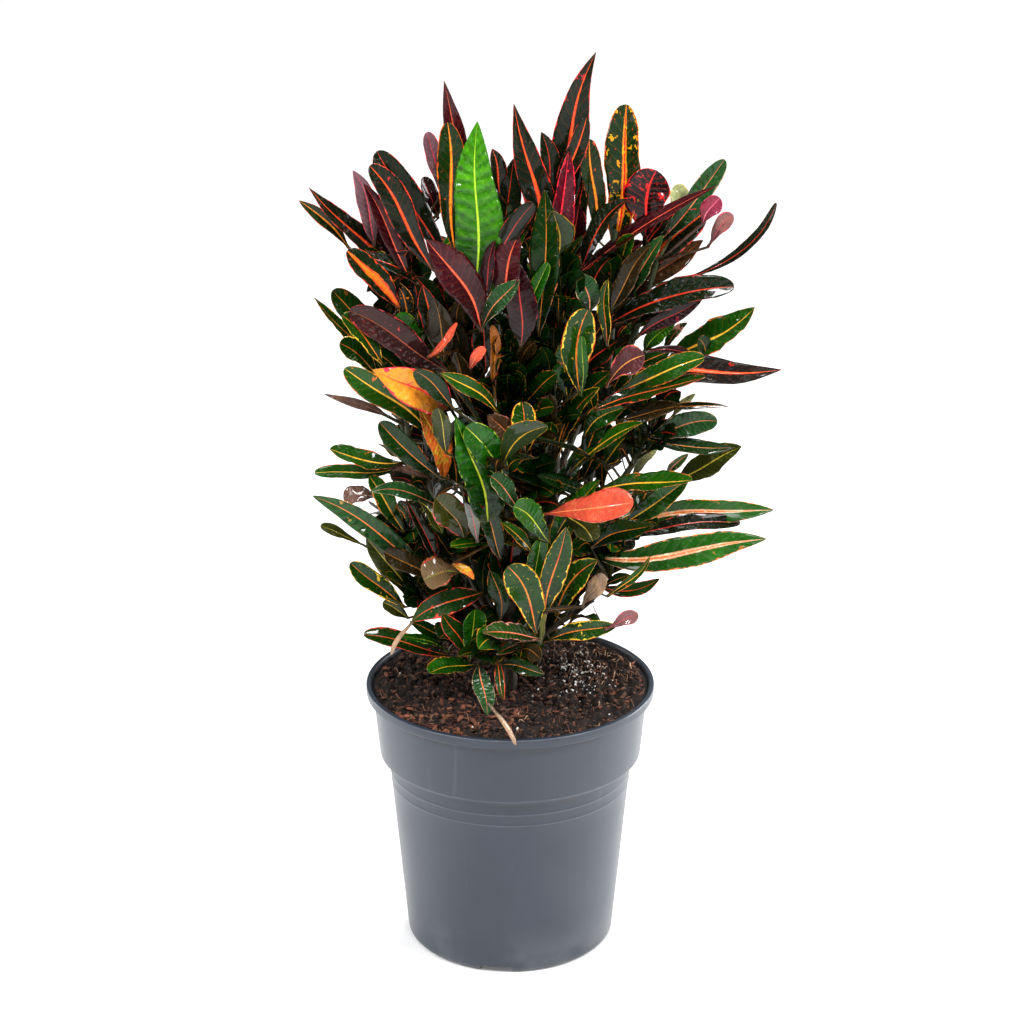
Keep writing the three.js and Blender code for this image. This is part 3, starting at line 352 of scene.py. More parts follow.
# Leaves that close the gaps between those, laid out the same way, all of the lance shape
FILL = [
    (60, 598, -24, 67, 672, -24, 16, 3, "night"),
    (52, 590, -30, 58, 640, -30, 18, 3, "maroon"),
    (-6, 318, -44, -16, 362, -46, 22, 3, "deep"),
    (-22, 312, -44, -16, 352, -46, 20, 3, "shade"),
    (4, 312, -44, 6, 356, -46, 22, 3, "shade"),
    (104, 400, -50, 140, 411, -56, 15, 0, "deep"),
    (-50, 276, -46, -84, 292, -50, 12, 2, "deep"),
    (112, 602, -24, 134, 630, -26, 18, 3, "night"),
    (92, 602, -22, 103, 640, -24, 13, 2, "night"),
    (128, 596, -24, 156, 624, -26, 14, 2, "night"),
    (78, 321, -60, 100, 331, -62, 10, 1, "deep"),
    (62, 412, -50, 84, 452, -54, 20, 3, "deep"),
    (78, 422, -48, 102, 450, -52, 18, 3, "leaf"),
    (70, 450, -50, 100, 474, -54, 18, 3, "shade"),
    (84, 460, -46, 116, 478, -50, 18, 2, "deep"),
    (92, 434, -46, 120, 446, -50, 15, 2, "shade"),
    (56, 468, -52, 84, 500, -56, 20, 3, "deep"),
    (60, 498, -50, 90, 526, -52, 20, 3, "night"),
    (70, 528, -46, 104, 556, -50, 20, 3, "umber"),
    (60, 554, -44, 84, 596, -46, 20, 3, "night"),
    (86, 556, -44, 112, 596, -46, 20, 3, "umber"),
    (102, 540, -40, 140, 570, -44, 18, 3, "night"),
    (100, 498, -46, 134, 518, -48, 16, 2, "deep"),
    (-60, 538, -48, -80, 580, -50, 20, 3, "night"),
    (-44, 538, -48, -50, 592, -48, 20, 3, "night"),
    (-40, 498, -56, -52, 545, -58, 20, 3, "umber"),
    (-43, 506, -56, -41, 562, -58, 18, 3, "umber"),
    (-31, 500, -52, -31, 556, -52, 18, 3, "shade"),
    (-88, 498, -44, -116, 520, -46, 16, 2, "deep"),
    (-60, 298, -44, -80, 330, -48, 18, 3, "deep"),
    (-40, 288, -46, -60, 320, -48, 18, 3, "deep"),
    (-66, 338, -46, -92, 364, -50, 16, 3, "umber"),
    (-50, 348, -50, -76, 376, -52, 18, 3, "deep"),
    (30, 453, -46, 34, 500, -48, 20, 3, "shade"),
    (0, 520, -44, 4, 572, -46, 20, 3, "shade"),
    (34, 498, -44, 40, 552, -46, 20, 3, "shade"),
    (22, 378, -48, 28, 424, -50, 20, 3, "deep"),
    (50, 348, -50, 60, 392, -54, 18, 3, "deep"),
    (60, 328, -50, 88, 350, -54, 16, 2, "deep"),
    (40, 436, -50, 56, 480, -54, 19, 3, "deep"),
    (-8, 400, -50, -14, 446, -52, 20, 3, "shade"),
    (-24, 420, -50, -30, 470, -52, 20, 3, "deep"),
]

# Colourings, in display colours from 0 to 255: blade, rib, margin, underside; then the rib's width as a
# share of the blade's, and how much margin, blotching, side veins and puckering shows, from 0 to 1
COLOURINGS = {
    "ember": ((20, 32, 17), (246, 92, 34), (228, 34, 52), (31, 21, 18), 0.13, 0.5, 0.06, 0.04, 0),
    "coal": ((34, 30, 26), (248, 96, 44), (232, 44, 40), (43, 28, 25), 0.16, 0.2, 0.06, 0.03, 0),
    "night": ((14, 30, 12), (214, 60, 34), (196, 50, 40), (24, 27, 17), 0.065, 0.35, 0.05, 0.03, 0),
    "wine": ((61, 18, 25), (240, 104, 64), (226, 52, 60), (54, 23, 27), 0.075, 0.15, 0.03, 0.06, 0),
    "maroon": ((37, 11, 17), (184, 60, 44), (190, 40, 54), (43, 18, 21), 0.05, 0.3, 0.04, 0.05, 0),
    "crimson": ((78, 16, 32), (240, 36, 56), (240, 44, 60), (54, 17, 24), 0.1, 0.9, 0.14, 0.1, 0),
    "ruby": ((25, 2, 3), (236, 40, 34), (206, 16, 24), (43, 10, 12), 0.08, 0.6, 0.33, 0.18, 0),
    "deep": ((15, 48, 12), (224, 134, 44), (226, 96, 44), (24, 34, 15), 0.04, 0.3, 0.04, 0.03, 0),
    "leaf": ((26, 80, 14), (236, 184, 52), (232, 120, 48), (36, 51, 20), 0.05, 0.5, 0.06, 0.03, 0.3),
    "bright": ((27, 84, 11), (200, 204, 58), (170, 196, 60), (36, 64, 18), 0.045, 0.35, 0.03, 0.03, 0.4),
    "lined": ((28, 76, 14), (252, 200, 64), (240, 92, 44), (36, 50, 20), 0.085, 0.5, 0.07, 0.03, 0),
    "edged": ((20, 58, 14), (240, 104, 44), (240, 60, 60), (36, 41, 20), 0.055, 0.9, 0.1, 0.03, 0),
    "rimmed": ((23, 63, 9), (240, 90, 48), (246, 214, 62), (43, 60, 21), 0.06, 1, 0.12, 0.03, 0),
    "patched": ((18, 32, 15), (246, 130, 36), (250, 150, 50), (40, 30, 20), 0.08, 0.7, 0.25, 0.04, 0),
    "banded": ((20, 36, 14), (240, 118, 34), (230, 50, 40), (64, 36, 21), 0.42, 0.7, 0.1, 0, 0),
    "gold": ((20, 46, 14), (255, 198, 22), (236, 44, 34), (64, 54, 21), 0.21, 0.6, 0.36, 0.04, 0),
    "flame": ((244, 153, 50), (236, 60, 44), (238, 60, 88), (200, 116, 64), 0.05, 1, 0.3, 0.1, 0),
    "sunset": ((236, 112, 48), (220, 190, 50), (226, 44, 56), (200, 100, 50), 0.08, 0.9, 0.5, 0.2, 0),
    "coral": ((220, 84, 62), (240, 146, 84), (232, 40, 60), (184, 84, 60), 0.06, 0.7, 0.27, 0.14, 0),
    "pink": ((150, 50, 74), (232, 120, 140), (226, 50, 96), (160, 90, 104), 0.08, 0.8, 0.1, 0.06, 0),
    "mauve": ((118, 82, 90), (226, 70, 80), (226, 56, 90), (104, 76, 80), 0.07, 0.6, 0.06, 0.05, 0),
    "cream": ((176, 186, 132), (206, 196, 110), (236, 160, 64), (170, 174, 124), 0.06, 0.7, 0.1, 0.06, 0),
    "sheen": ((32, 76, 36), (232, 100, 54), (200, 196, 150), (43, 60, 34), 0.05, 0.4, 0.03, 0.04, 0.5),
    "silver": ((36, 78, 40), (244, 110, 56), (240, 176, 90), (43, 57, 37), 0.06, 0.3, 0.05, 0.04, 0.8),
    "olive": ((52, 60, 22), (200, 180, 60), (160, 120, 60), (74, 80, 38), 0.06, 0.3, 0.05, 0.04, 0),
    "khaki": ((108, 112, 60), (170, 160, 86), (190, 120, 100), (122, 120, 70), 0.05, 0.4, 0.05, 0.04, 0),
    "brown": ((68, 48, 30), (196, 104, 58), (160, 60, 60), (76, 58, 40), 0.05, 0.5, 0.06, 0.05, 0),
    "umber": ((42, 35, 18), (170, 110, 44), (130, 70, 40), (33, 31, 18), 0.045, 0.3, 0.05, 0.04, 0),
    "tan": ((112, 88, 62), (104, 120, 54), (196, 60, 50), (110, 88, 64), 0.08, 0.8, 0.05, 0.04, 0),
    "ringed": ((62, 66, 22), (150, 130, 50), (238, 60, 92), (62, 60, 30), 0.04, 1, 0.03, 0.04, 0),
    "russet": ((54, 28, 27), (130, 76, 44), (226, 60, 72), (41, 25, 21), 0.04, 0.4, 0.1, 0.05, 0),
    "beige": ((170, 142, 120), (196, 162, 124), (186, 110, 96), (160, 134, 112), 0.06, 0.4, 0.1, 0.06, 0),
    "pale": ((44, 80, 32), (236, 96, 60), (246, 206, 190), (69, 74, 44), 0.08, 1, 0.3, 0.05, 0),
    "rosy": ((136, 92, 92), (200, 88, 96), (220, 70, 92), (128, 86, 86), 0.07, 0.8, 0.06, 0.06, 0),
    "amber": ((158, 88, 26), (220, 130, 40), (90, 44, 20), (100, 57, 23), 0.1, 0.4, 0.1, 0.06, 0),
    "lily": ((34, 88, 20), (250, 236, 196), (240, 120, 50), (43, 57, 28), 0.22, 0.7, 0.05, 0.03, 0),
    "dry": ((108, 82, 74), (136, 104, 90), (84, 62, 54), (104, 80, 70), 0.08, 0.3, 0.1, 0.06, 0),
    "fresh": ((62, 134, 18), (190, 226, 58), (110, 180, 40), (43, 79, 23), 0.045, 0.1, 0, 0.05, 1),
    "striped": ((22, 46, 14), (252, 156, 36), (240, 64, 40), (31, 34, 17), 0.15, 0.55, 0.08, 0.03, 0),
    "plum": ((84, 46, 50), (220, 158, 56), (226, 66, 104), (84, 50, 54), 0.07, 0.9, 0.04, 0.05, 0),
    # shade: a near-black green for leaves deep in the plant, painted shade for the shadow inside the crown
    "shade": ((13, 37, 11), (92, 70, 26), (76, 80, 28), (12, 20, 9), 0.04, 0.3, 0.02, 0.03, 0),
    "ash": ((122, 128, 124), (214, 70, 74), (176, 160, 158), (86, 69, 72), 0.08, 0.3, 0.05, 0.02, 0),
    "blush": ((30, 70, 26), (250, 108, 60), (252, 186, 168), (64, 57, 43), 0.07, 0.6, 0.1, 0.1, 0.2),
}
HIGH_LEAVES = ("ember", "night", "deep", "night", "leaf", "maroon", "deep", "night")
MIDDLE_LEAVES = ("deep", "leaf", "night", "deep", "lined", "umber", "deep", "leaf")
LOW_LEAVES = ("leaf", "deep", "leaf", "edged", "deep", "leaf", "deep", "rimmed")
INNER_LEAVES = ("shade", "deep", "shade", "leaf", "shade", "night", "deep", "shade", "umber", "deep")
HIGH_FROM = 540.0
MIDDLE_FROM = 400.0

# Branch build: rows and columns of a main stem and of a side branch
STEM_GRID = (40, 12)
BRANCH_GRID = (18, 8)
BRANCH_JOINTS = 11

# Blade build
BLADE_THICKNESS = 0.7
PETIOLE_HALF_WIDTH = 1.4
PETIOLE_THICKNESS = 2.2
PETIOLE_RISE = 14.0
FOLD = 0.24
WAVE = 0.055
WAVES_PER_BLADE = 2.3
SWAY = 0.04
RUFFLE = 0.028
RUFFLES_PER_WAVE = 2.9
TANGENT_STEP = 0.04
STALK_FADE = 0.1
GROOVE = 0.45
RIDGE = 0.7
RIB_REACH = 1.1
PUCKER = 1.0
PUCKERS_PER_BLADE = 15.0
UNEVEN = 0.065
SIDE_GAP = 1.6
SHOOT_FLOOR = 229.0
SHOOT_FLOOR_RADIUS = 132.0

# Grid of a blade: stations along it, and places across its top and its underside
FINE_STATIONS = np.array([0, 0.05, 0.1, 0.17, 0.24, 0.31, 0.38, 0.45, 0.52, 0.59, 0.66, 0.73, 0.8, 0.86, 0.91,
                          0.95, 0.98, 0.995])
PUCKERED_STATIONS = np.concatenate([np.linspace(0, 0.965, 90), [0.98, 0.995]])
PLAIN_STATIONS = np.array([0, 0.1, 0.22, 0.36, 0.5, 0.64, 0.77, 0.88, 0.95, 0.99])
PETIOLE_STATIONS = np.array([0.2, 0.75])
FINE_TOP = np.array([-1, -0.84, -0.6, -0.34, -0.1, 0, 0.1, 0.34, 0.6, 0.84, 1])
FINE_UNDER = np.array([0.93, 0.5, 0.1, 0, -0.1, -0.5, -0.93])
PLAIN_TOP = np.array([-1, -0.6, -0.12, 0, 0.12, 0.6, 1])
PLAIN_UNDER = np.array([0.9, 0, -0.9])

# What each point of a leaf keeps for its finish
LEAF_FIELDS = ("blade", "ground", "rib", "margin", "under", "dimple")


def linear(colour):
    """Display colour from 0 to 255 as linear light: divided by 255, then raised to 2.2."""
    return (np.asarray(colour, float) / 255.0) ** 2.2


class Draw:
    """Seeded draw: the same small integer mix as the solids' source, so that both place the same leaves."""

    def __init__(self, seed):
        self.state = seed

    def share(self):
        word = 0xFFFFFFFF
        self.state = (self.state + 0x6D2B79F5) & word
        mixed = ((self.state ^ (self.state >> 15)) * (1 | self.state)) & word
        mixed = ((mixed + (((mixed ^ (mixed >> 7)) * (61 | mixed)) & word)) & word) ^ mixed
        return ((mixed ^ (mixed >> 14)) & word) / 4294967296.0

    def between(self, low, high):
        return low + (high - low) * self.share()


def unit(v):
    """Vectors divided by their lengths, along the last axis."""
    v = np.asarray(v, float)
    return v / np.maximum(np.linalg.norm(v, axis=-1, keepdims=True), 1e-12)


def across(v, along):
    """The part of each vector that is square to a direction, at unit length."""
    v = np.broadcast_to(v, np.shape(along))
    return unit(v - along * np.sum(v * along, axis=-1, keepdims=True))


def turned(v, axis, angle):
    """Each vector turned about an axis by an angle, by Rodrigues' formula."""
    angle = np.asarray(angle, float)[..., None]
    dot = np.sum(v * axis, axis=-1, keepdims=True)
    return v * np.cos(angle) + np.cross(axis, v) * np.sin(angle) + axis * dot * (1 - np.cos(angle))


def seen(place, height, depth):
    """Point that the eye sees at a place on the sheet, at a depth from the clump's line."""
    forward = np.array([0, math.cos(EYE_TILT), -math.sin(EYE_TILT)])
    upward = np.array([0, math.sin(EYE_TILT), math.cos(EYE_TILT)])
    ray = np.array([place - SHEET_CENTRE[0], 0, 0]) + upward * (height - SHEET_CENTRE[1])
    ray = ray + forward * SHEET_DISTANCE
    return EYE + ray * (depth + CLUMP_DEPTH - EYE[1]) / ray[1]


def outside_crown(point, scale, half_depth):
    """Whether a point is outside the crown: an ellipse as the eye sees it, scaled, and a half depth."""
    ray = point - EYE
    stretch = SHEET_DISTANCE / (ray[1] * math.cos(EYE_TILT) - ray[2] * math.sin(EYE_TILT))
    place = SHEET_CENTRE[0] + ray[0] * stretch
    height = SHEET_CENTRE[1] + (ray[1] * math.sin(EYE_TILT) + ray[2] * math.cos(EYE_TILT)) * stretch
    wide = place / (CROWN_HALF_WIDTH * scale)
    tall = (height - CROWN_MIDDLE) / (CROWN_HALF_HEIGHT * scale)
    deep = (point[1] - CLUMP_DEPTH) / half_depth
    return wide**2 + tall**2 + deep**2 > 1


class Spline:
    """Smooth curve through points, with centripetal spacing, over a parameter from 0 to 1."""

    def __init__(self, points):
        self.points = np.asarray(points, float)

    def at(self, share):
        """Cubic through two neighbouring points, its slopes set by the point before and the point after."""
        p = self.points
        last = len(p) - 1
        place = np.asarray(share, float) * last
        i = np.minimum(place.astype(int), last - 1)
        weight = (place - i)[..., None]
        padded = np.vstack([2 * p[0] - p[1], p, 2 * p[-1] - p[-2]])
        a, b, c, d = (padded[i + k] for k in range(4))
        spans = (b - a, c - b, d - c)
        gap_a, gap_b, gap_c = (np.sqrt(np.linalg.norm(span, axis=-1))[..., None] for span in spans)
        slope_b = ((b - a) / gap_a - (c - a) / (gap_a + gap_b) + (c - b) / gap_b) * gap_b
        slope_c = ((c - b) / gap_b - (d - b) / (gap_b + gap_c) + (d - c) / gap_c) * gap_b
        cubic = 2 * b - 2 * c + slope_b + slope_c
        square = -3 * b + 3 * c - 2 * slope_b - slope_c
        return b + slope_b * weight + square * weight**2 + cubic * weight**3


class Sector:
    """A plant's share of the clump: places in it, and the push that keeps a shoot inside it."""

    def __init__(self, plant):
        start, end = math.radians(plant["start"]), math.radians(plant["end"])
        middle = (start + end) / 2
        self.out = np.array([math.cos(middle), math.sin(middle), 0.0])
        self.walls = np.array([[-math.sin(start), math.cos(start), 0], [math.sin(end), -math.cos(end), 0]])

    def place(self, distance, turn, height):
        sideways = turned(self.out, UP, math.radians(turn))
        return np.array([0, CLUMP_DEPTH, height]) + sideways * distance

    def keep_in(self, points, margin):
        """Points moved square to the walls until they are a margin away, then up clear of soil and lip."""
        kept = np.array(points, float)
        margin = np.broadcast_to(margin, kept.shape[:-1])
        for _ in range(4):
            for wall in self.walls:
                reach = kept[..., 0] * wall[0] + (kept[..., 1] - CLUMP_DEPTH) * wall[1]
                kept = kept + wall * np.maximum(0, margin - reach)[..., None]
        inside = np.hypot(kept[..., 0], kept[..., 1]) < SHOOT_FLOOR_RADIUS
        lifted = np.maximum(kept[..., 2], SHOOT_FLOOR + margin * 0.6)
        kept[..., 2] = np.where(inside, lifted, kept[..., 2])
        return kept


def outline(shape, t):
    """Half width as a share of the widest: t to the base power times (1 - t) to the tip power, scaled."""
    base, tip = SHAPES[shape]
    widest = base / (base + tip)
    return t**base * (1 - t) ** tip / (widest**base * (1 - widest) ** tip)


def root_of(base, lines):
    """Nearest of the points along the branches to a place a petiole's rise below a blade's base."""
    wanted = base - np.array([0, 0, PETIOLE_RISE])
    choices = [line.at(np.arange(6 if which == 0 else 1, 21) / 20) for which, line in enumerate(lines)]
    choices = np.vstack(choices)
    return choices[np.argmin(np.linalg.norm(choices - wanted, axis=1))]


def laid_out_leaves(table, draw, fine):
    """The leaves of a table, each facing the eye and a little up, turned at random about its length."""
    to_eye = unit(EYE)
    leaves = []
    for x0, z0, y0, x1, z1, y1, width, arch, shape, colouring in table:
        base, tip = seen(x0, z0, y0), seen(x1, z1, y1)
        along = unit(tip - base)
        face = across(to_eye + 0.35 * UP, along)
        face = turned(face, along, draw.between(-0.45, 0.45))
        phase, twist = draw.between(0, 6.28), draw.between(-0.75, 0.75)
        leaves.append(dict(base=base, tip=tip, width=width, arch=arch, shape=shape, face=face, phase=phase,
                           twist=twist, colouring=colouring, fine=fine))
    return leaves


def tip_in_crown(base, along, length, crown, half_depth):
    """Tip of a blade, which is shortened while it reaches out of the crown."""
    for _ in range(CROWN_TRIES):
        if outside_crown(base + along * length, crown, half_depth):
            length *= CROWN_SHRINK
    return base + along * length


def how_high(point):
    """Share from 0 to 1 of the rise over which leaves grow steeper."""
    return min(max((point[2] - STEEP_FROM) / STEEP_RISE, 0), 1)


def colours_at(tip, low):
    """Names of the colourings at a tip's height, with the given ones near the soil."""
    return HIGH_LEAVES if tip[2] > HIGH_FROM else MIDDLE_LEAVES if tip[2] > MIDDLE_FROM else low


def drawn_leaf(sector, lines, i, draw, scale=1.0, reach=1.0, crown=1.0, half_depth=math.inf):
    """A leaf drawn by rule: round its branch by the golden angle, steeper when higher, tip in the crown."""
    line = lines[i % len(lines)]
    start = line.at(reach * (draw.between(0.35, 1) if line is lines[0] else draw.between(0.25, 1)))
    turn = i * GOLDEN_ANGLE + draw.between(-0.3, 0.3)
    high = how_high(start)
    steep = 0.25 + 0.9 * high + draw.between(-0.2, 0.2)
    along = turned(sector.out, UP, 0.9 * math.sin(turn)) * math.cos(steep) + UP * math.sin(steep)
    length = (draw.between(62, 104) + 14 * high) * scale
    base = start + along * PETIOLE_LENGTH
    tip = tip_in_crown(base, along, length, crown, half_depth)
    inner = crown < 1
    facing = 0.9 * sector.out + 0.6 * UP if inner else UP - 0.4 * sector.out
    face = turned(across(facing, along), along, draw.between(-0.5, 0.5))
    shapes = ("lance", "lance", "strap", "round", "spire", "lance", "spoon")
    width, arch = draw.between(15, 26), draw.between(2, 8)
    phase, twist = draw.between(0, 6.28), draw.between(-0.75, 0.75)
    names = INNER_LEAVES if inner else colours_at(tip, LOW_LEAVES)
    return dict(base=base, tip=tip, width=width * (0.4 + 0.6 * scale), arch=arch,
                shape=shapes[i % len(shapes)], face=face, phase=phase, twist=twist,
                colouring=names[(i * 5 + i // 7) % len(names)], fine=False)


def bridging_leaf(sector, lines, i, draw):
    """A leaf drawn by rule that grows across the middle of the clump, towards the other plants."""
    line = lines[0] if i % 2 else lines[i // 2 % len(lines)]
    start = line.at(draw.between(0.22, 0.95))
    steep = 0.35 + 0.6 * how_high(start) + draw.between(-0.3, 0.3)
    inward = turned(-sector.out, UP, draw.between(-1.15, 1.15))
    along = inward * math.cos(steep) + UP * math.sin(steep)
    base = start + along * BRIDGING_PETIOLE_LENGTH
    tip = tip_in_crown(base, along, draw.between(44, 78), 1.0, math.inf)
    face = turned(across(UP - 0.5 * inward, along), along, draw.between(-0.9, 0.9))
    shapes = ("lance", "strap", "round", "lance", "spoon")
    width, arch = draw.between(15, 24), draw.between(2, 8)
    phase, twist = draw.between(0, 6.28), draw.between(-0.75, 0.75)
    names = colours_at(tip, INNER_LEAVES)
    return dict(base=base, tip=tip, width=width, arch=arch, shape=shapes[i % len(shapes)], face=face,
                phase=phase, twist=twist, colouring=names[(i * 3 + i // 5) % len(names)], fine=False,
                gap=BRIDGING_GAP)


def leaves_of(plant, sector, lines):
    """A plant's outer leaves and its inner ones.

    The outer leaves are the table's, on the front plant, and drawn ones. The inner leaves are infill, those
    that close gaps at the front, and those that reach across the clump.
    """
    draw = Draw(plant["seed"])
    front = plant["name"] == "croton_front"
    leaves = laid_out_leaves(LEAVES, draw, True) if front else []
    leaves += [drawn_leaf(sector, lines, i, draw) for i in range(plant["extra"])]
    draw = Draw(plant["seed"] + INFILL_SEED_STEP)
    inner = [drawn_leaf(sector, lines if i % 3 else lines[:1], i, draw, INFILL_SCALE, INFILL_REACH,
                        INFILL_CROWN, plant["infill_half_depth"]) for i in range(plant["infill"])]
    lances = [(*row[:-1], "lance", row[-1]) for row in FILL]
    inner += laid_out_leaves(lances, draw, False) if front else []
    draw = Draw(plant["seed"] + BRIDGING_SEED_STEP)
    inner += [bridging_leaf(sector, lines, i, draw) for i in range(plant["bridging"])]
    for leaf in leaves + inner:
        leaf["base"] = sector.keep_in(leaf["base"], PETIOLE_HALF_WIDTH + SIDE_GAP)
        leaf["root"] = root_of(leaf["base"], lines)
    return leaves, inner


def tube_faces(rows, columns):
    """Quads between the rows of a closed tube, and a fan of triangles to the pole at each end."""
    ring = np.arange(columns)
    after = (ring + 1) % columns
    row = 1 + columns * np.arange(rows - 1)[:, None]
    quads = np.stack([row + ring, row + after, row + columns + after, row + columns + ring], -1)
    first = np.stack([np.zeros_like(ring), 1 + after, 1 + ring], -1)
    last_row = 1 + columns * (rows - 1)
    last = np.stack([np.full_like(ring, last_row + columns), last_row + ring, last_row + after], -1)
    return quads.reshape(-1, 4), np.vstack([first, last])


def blade_line(sector, leaf, half_at):
    """Centre line of a blade: a parabola that sways a little to the sides, kept in the sector.

    The sway is half a sine one way and a whole sine the other, mixed by the leaf's own phase. A leaf that
    reaches across the clump has a gap below nothing, so that it may pass the sector's walls by so much.
    """
    base, tip = leaf["base"], leaf["tip"]
    span = tip - base
    forward = unit(span)
    lift = across(UP, forward)
    sideways = np.cross(across(leaf["face"], forward), forward) * np.linalg.norm(span) * SWAY
    middle = (base + tip) / 2 + lift * 2 * leaf["arch"]
    bow, bend = math.sin(3 * leaf["phase"]), 0.5 * math.cos(3 * leaf["phase"])

    def centre_at(t):
        w = t[:, None]
        curve = base * (1 - w) ** 2 + 2 * middle * w * (1 - w) + tip * w**2
        curve = curve + sideways * (bow * np.sin(np.pi * w) + bend * np.sin(FULL_TURN * w))
        return sector.keep_in(curve, half_at(t) + leaf.get("gap", SIDE_GAP))

    return centre_at


def leaf_surface(sector, leaf):
    """Petiole and blade as one flattened tube.

    The petiole is straight from the branch to the blade's base. Across the blade, the height is the
    fold times the distance from the rib to the power 1.4, plus margins that wave as a sine along the
    blade, plus finer ruffles at the very edge. The rib is a groove on top and a ridge beneath, each a
    bell curve. Puckers are sines that slant from the rib to the margin. Top and underside are a
    thickness apart, which falls to almost nothing at the margins as a half ellipse. The width swells and
    shrinks a little along each side as a sine.

    Gives the points, the faces, each point's place on the blade (along, across, top or underside, and how
    much it is stalk) and each point's relief from the puckers.
    """
    fine = leaf["fine"]
    pucker = COLOURINGS[leaf["colouring"]][8]
    stations = PLAIN_STATIONS if not fine else PUCKERED_STATIONS if pucker else FINE_STATIONS
    top, under = (FINE_TOP, FINE_UNDER) if fine else (PLAIN_TOP, PLAIN_UNDER)
    width, root = leaf["width"], leaf["root"]

    def half_at(t):
        return np.maximum(PETIOLE_HALF_WIDTH * (1 - t), width / 2 * outline(leaf["shape"], t))

    centre_at = blade_line(sector, leaf, half_at)
    centre = centre_at(stations)
    ahead, behind = np.minimum(1, stations + TANGENT_STEP), np.maximum(0, stations - TANGENT_STEP)
    along = unit(centre_at(ahead) - centre_at(behind))
    up = turned(across(leaf["face"], along), along, leaf["twist"] * (stations - 0.4))
    stalk = root + (centre[0] - root) * PETIOLE_STATIONS[:, None]
    centre = np.vstack([stalk, centre])
    along = np.vstack([np.repeat(along[:1], len(stalk), 0), along])
    up = np.vstack([np.repeat(up[:1], len(stalk), 0), up])
    t = np.concatenate([np.zeros(len(stalk)), stations])
    half = half_at(t)
    stalk_share = np.concatenate([np.ones(len(stalk)), np.maximum(0, 1 - stations / STALK_FADE)])
    thick = BLADE_THICKNESS + (PETIOLE_THICKNESS - BLADE_THICKNESS) * stalk_share

    s = np.concatenate([top, under])
    face = np.concatenate([np.ones(len(top)), -np.ones(len(under))])
    face[[0, len(top) - 1]] = 0
    swell = np.sin(np.pi * t)[:, None]
    turn = (FULL_TURN * WAVES_PER_BLADE * t + leaf["phase"])[:, None]
    waved = width * WAVE * swell * s**2 * np.sin(turn + 2 * (s > 0))
    ruffled = width * RUFFLE * swell * np.abs(s) ** 3 * np.sin(RUFFLES_PER_WAVE * turn + 4 * s)
    rib = np.exp(-((half[:, None] * np.abs(s) / RIB_REACH) ** 2))
    rib = rib * (1 - stalk_share[:, None]) * np.minimum(1, half / 5)[:, None]
    slanted = FULL_TURN * PUCKERS_PER_BLADE * (t[:, None] - 0.06 * np.abs(s)) + 2 * (s > 0)
    slanted = slanted + 1.1 * np.sin(17 * t[:, None] + 3 * s)
    dimple = pucker * np.sin(slanted) * np.sqrt(np.abs(s)) * (1 - s**4) * np.minimum(1, 2 * swell)
    height = FOLD * half[:, None] * np.abs(s) ** 1.4 + waved + ruffled + PUCKER * dimple
    height = height - rib * np.where(face > 0, GROOVE, RIDGE)
    height = height + face * thick[:, None] / 2 * np.sqrt(np.maximum(0, 1 - (0.96 * s) ** 2))
    side = unit(np.cross(up, along))
    uneven = 1 + UNEVEN * swell * np.sin(11 * t[:, None] + leaf["phase"] + 2.4 * (s > 0))
    grid = centre[:, None] + side[:, None] * (half[:, None] * s * uneven)[..., None]
    grid = grid + up[:, None] * height[..., None]
    points = np.vstack([root[None], grid.reshape(-1, 3), centre_at(np.array([1.0]))])
    along_share = np.concatenate([[0], np.repeat(t, len(s)), [1]])
    across_share = 0.5 + 0.5 * np.concatenate([[0], np.tile(s, len(t)), [0]])
    side_share = np.concatenate([[1], np.tile((face >= 0).astype(float), len(t)), [1]])
    stalk_share = np.concatenate([[1], np.repeat(stalk_share, len(s)), [0]])
    blade = np.stack([along_share, across_share, side_share, stalk_share], -1)
    relief = np.concatenate([[0.5], 0.5 + 0.5 * dimple.ravel(), [0.5]])
    return points, tube_faces(len(t), len(s)), blade, relief


def joined_tubes(name, tubes):
    """One mesh of many closed tubes, each given as its points and its faces."""
    points, quads, triangles = [], [], []
    start = 0
    for corners, (quad, triangle) in tubes:
        points.append(corners)
        quads.append(quad + start)
        triangles.append(triangle + start)
        start += len(corners)
    return mesh_piece(name, np.vstack(points), np.vstack(quads), np.vstack(triangles))


def foliage_mesh(name, sector, leaves):
    """One mesh of many leaves, with each leaf's colours kept on its points."""
    surfaces = [leaf_surface(sector, leaf) for leaf in leaves]
    piece = joined_tubes(name, [surface[:2] for surface in surfaces])
    fields = {key: [] for key in LEAF_FIELDS}
    for leaf, (points, _, blade, relief) in zip(leaves, surfaces):
        ground, rib, margin, under, rib_width, edging, blotches, veins, _ = COLOURINGS[leaf["colouring"]]
        fields["blade"].append(blade)
        fields["dimple"].append(np.repeat(relief[:, None], 4, 1))
        even = (ground, blotches), (rib, rib_width), (margin, edging), (under, veins)
        for key, (colour, extra) in zip(LEAF_FIELDS[1:5], even):
            fields[key].append(np.tile(np.append(linear(colour), extra), (len(points), 1)))
    for key, values in fields.items():
        layer = piece.data.attributes.new(key, "FLOAT_COLOR", "POINT")
        layer.data.foreach_set("color", np.vstack(values).astype(np.float32).ravel())
    return piece


def placed(name, data):
    """Object of a mesh, a lamp or a camera, in the scene."""
    thing = bpy.data.objects.new(name, data)
    bpy.context.scene.collection.objects.link(thing)
    return thing


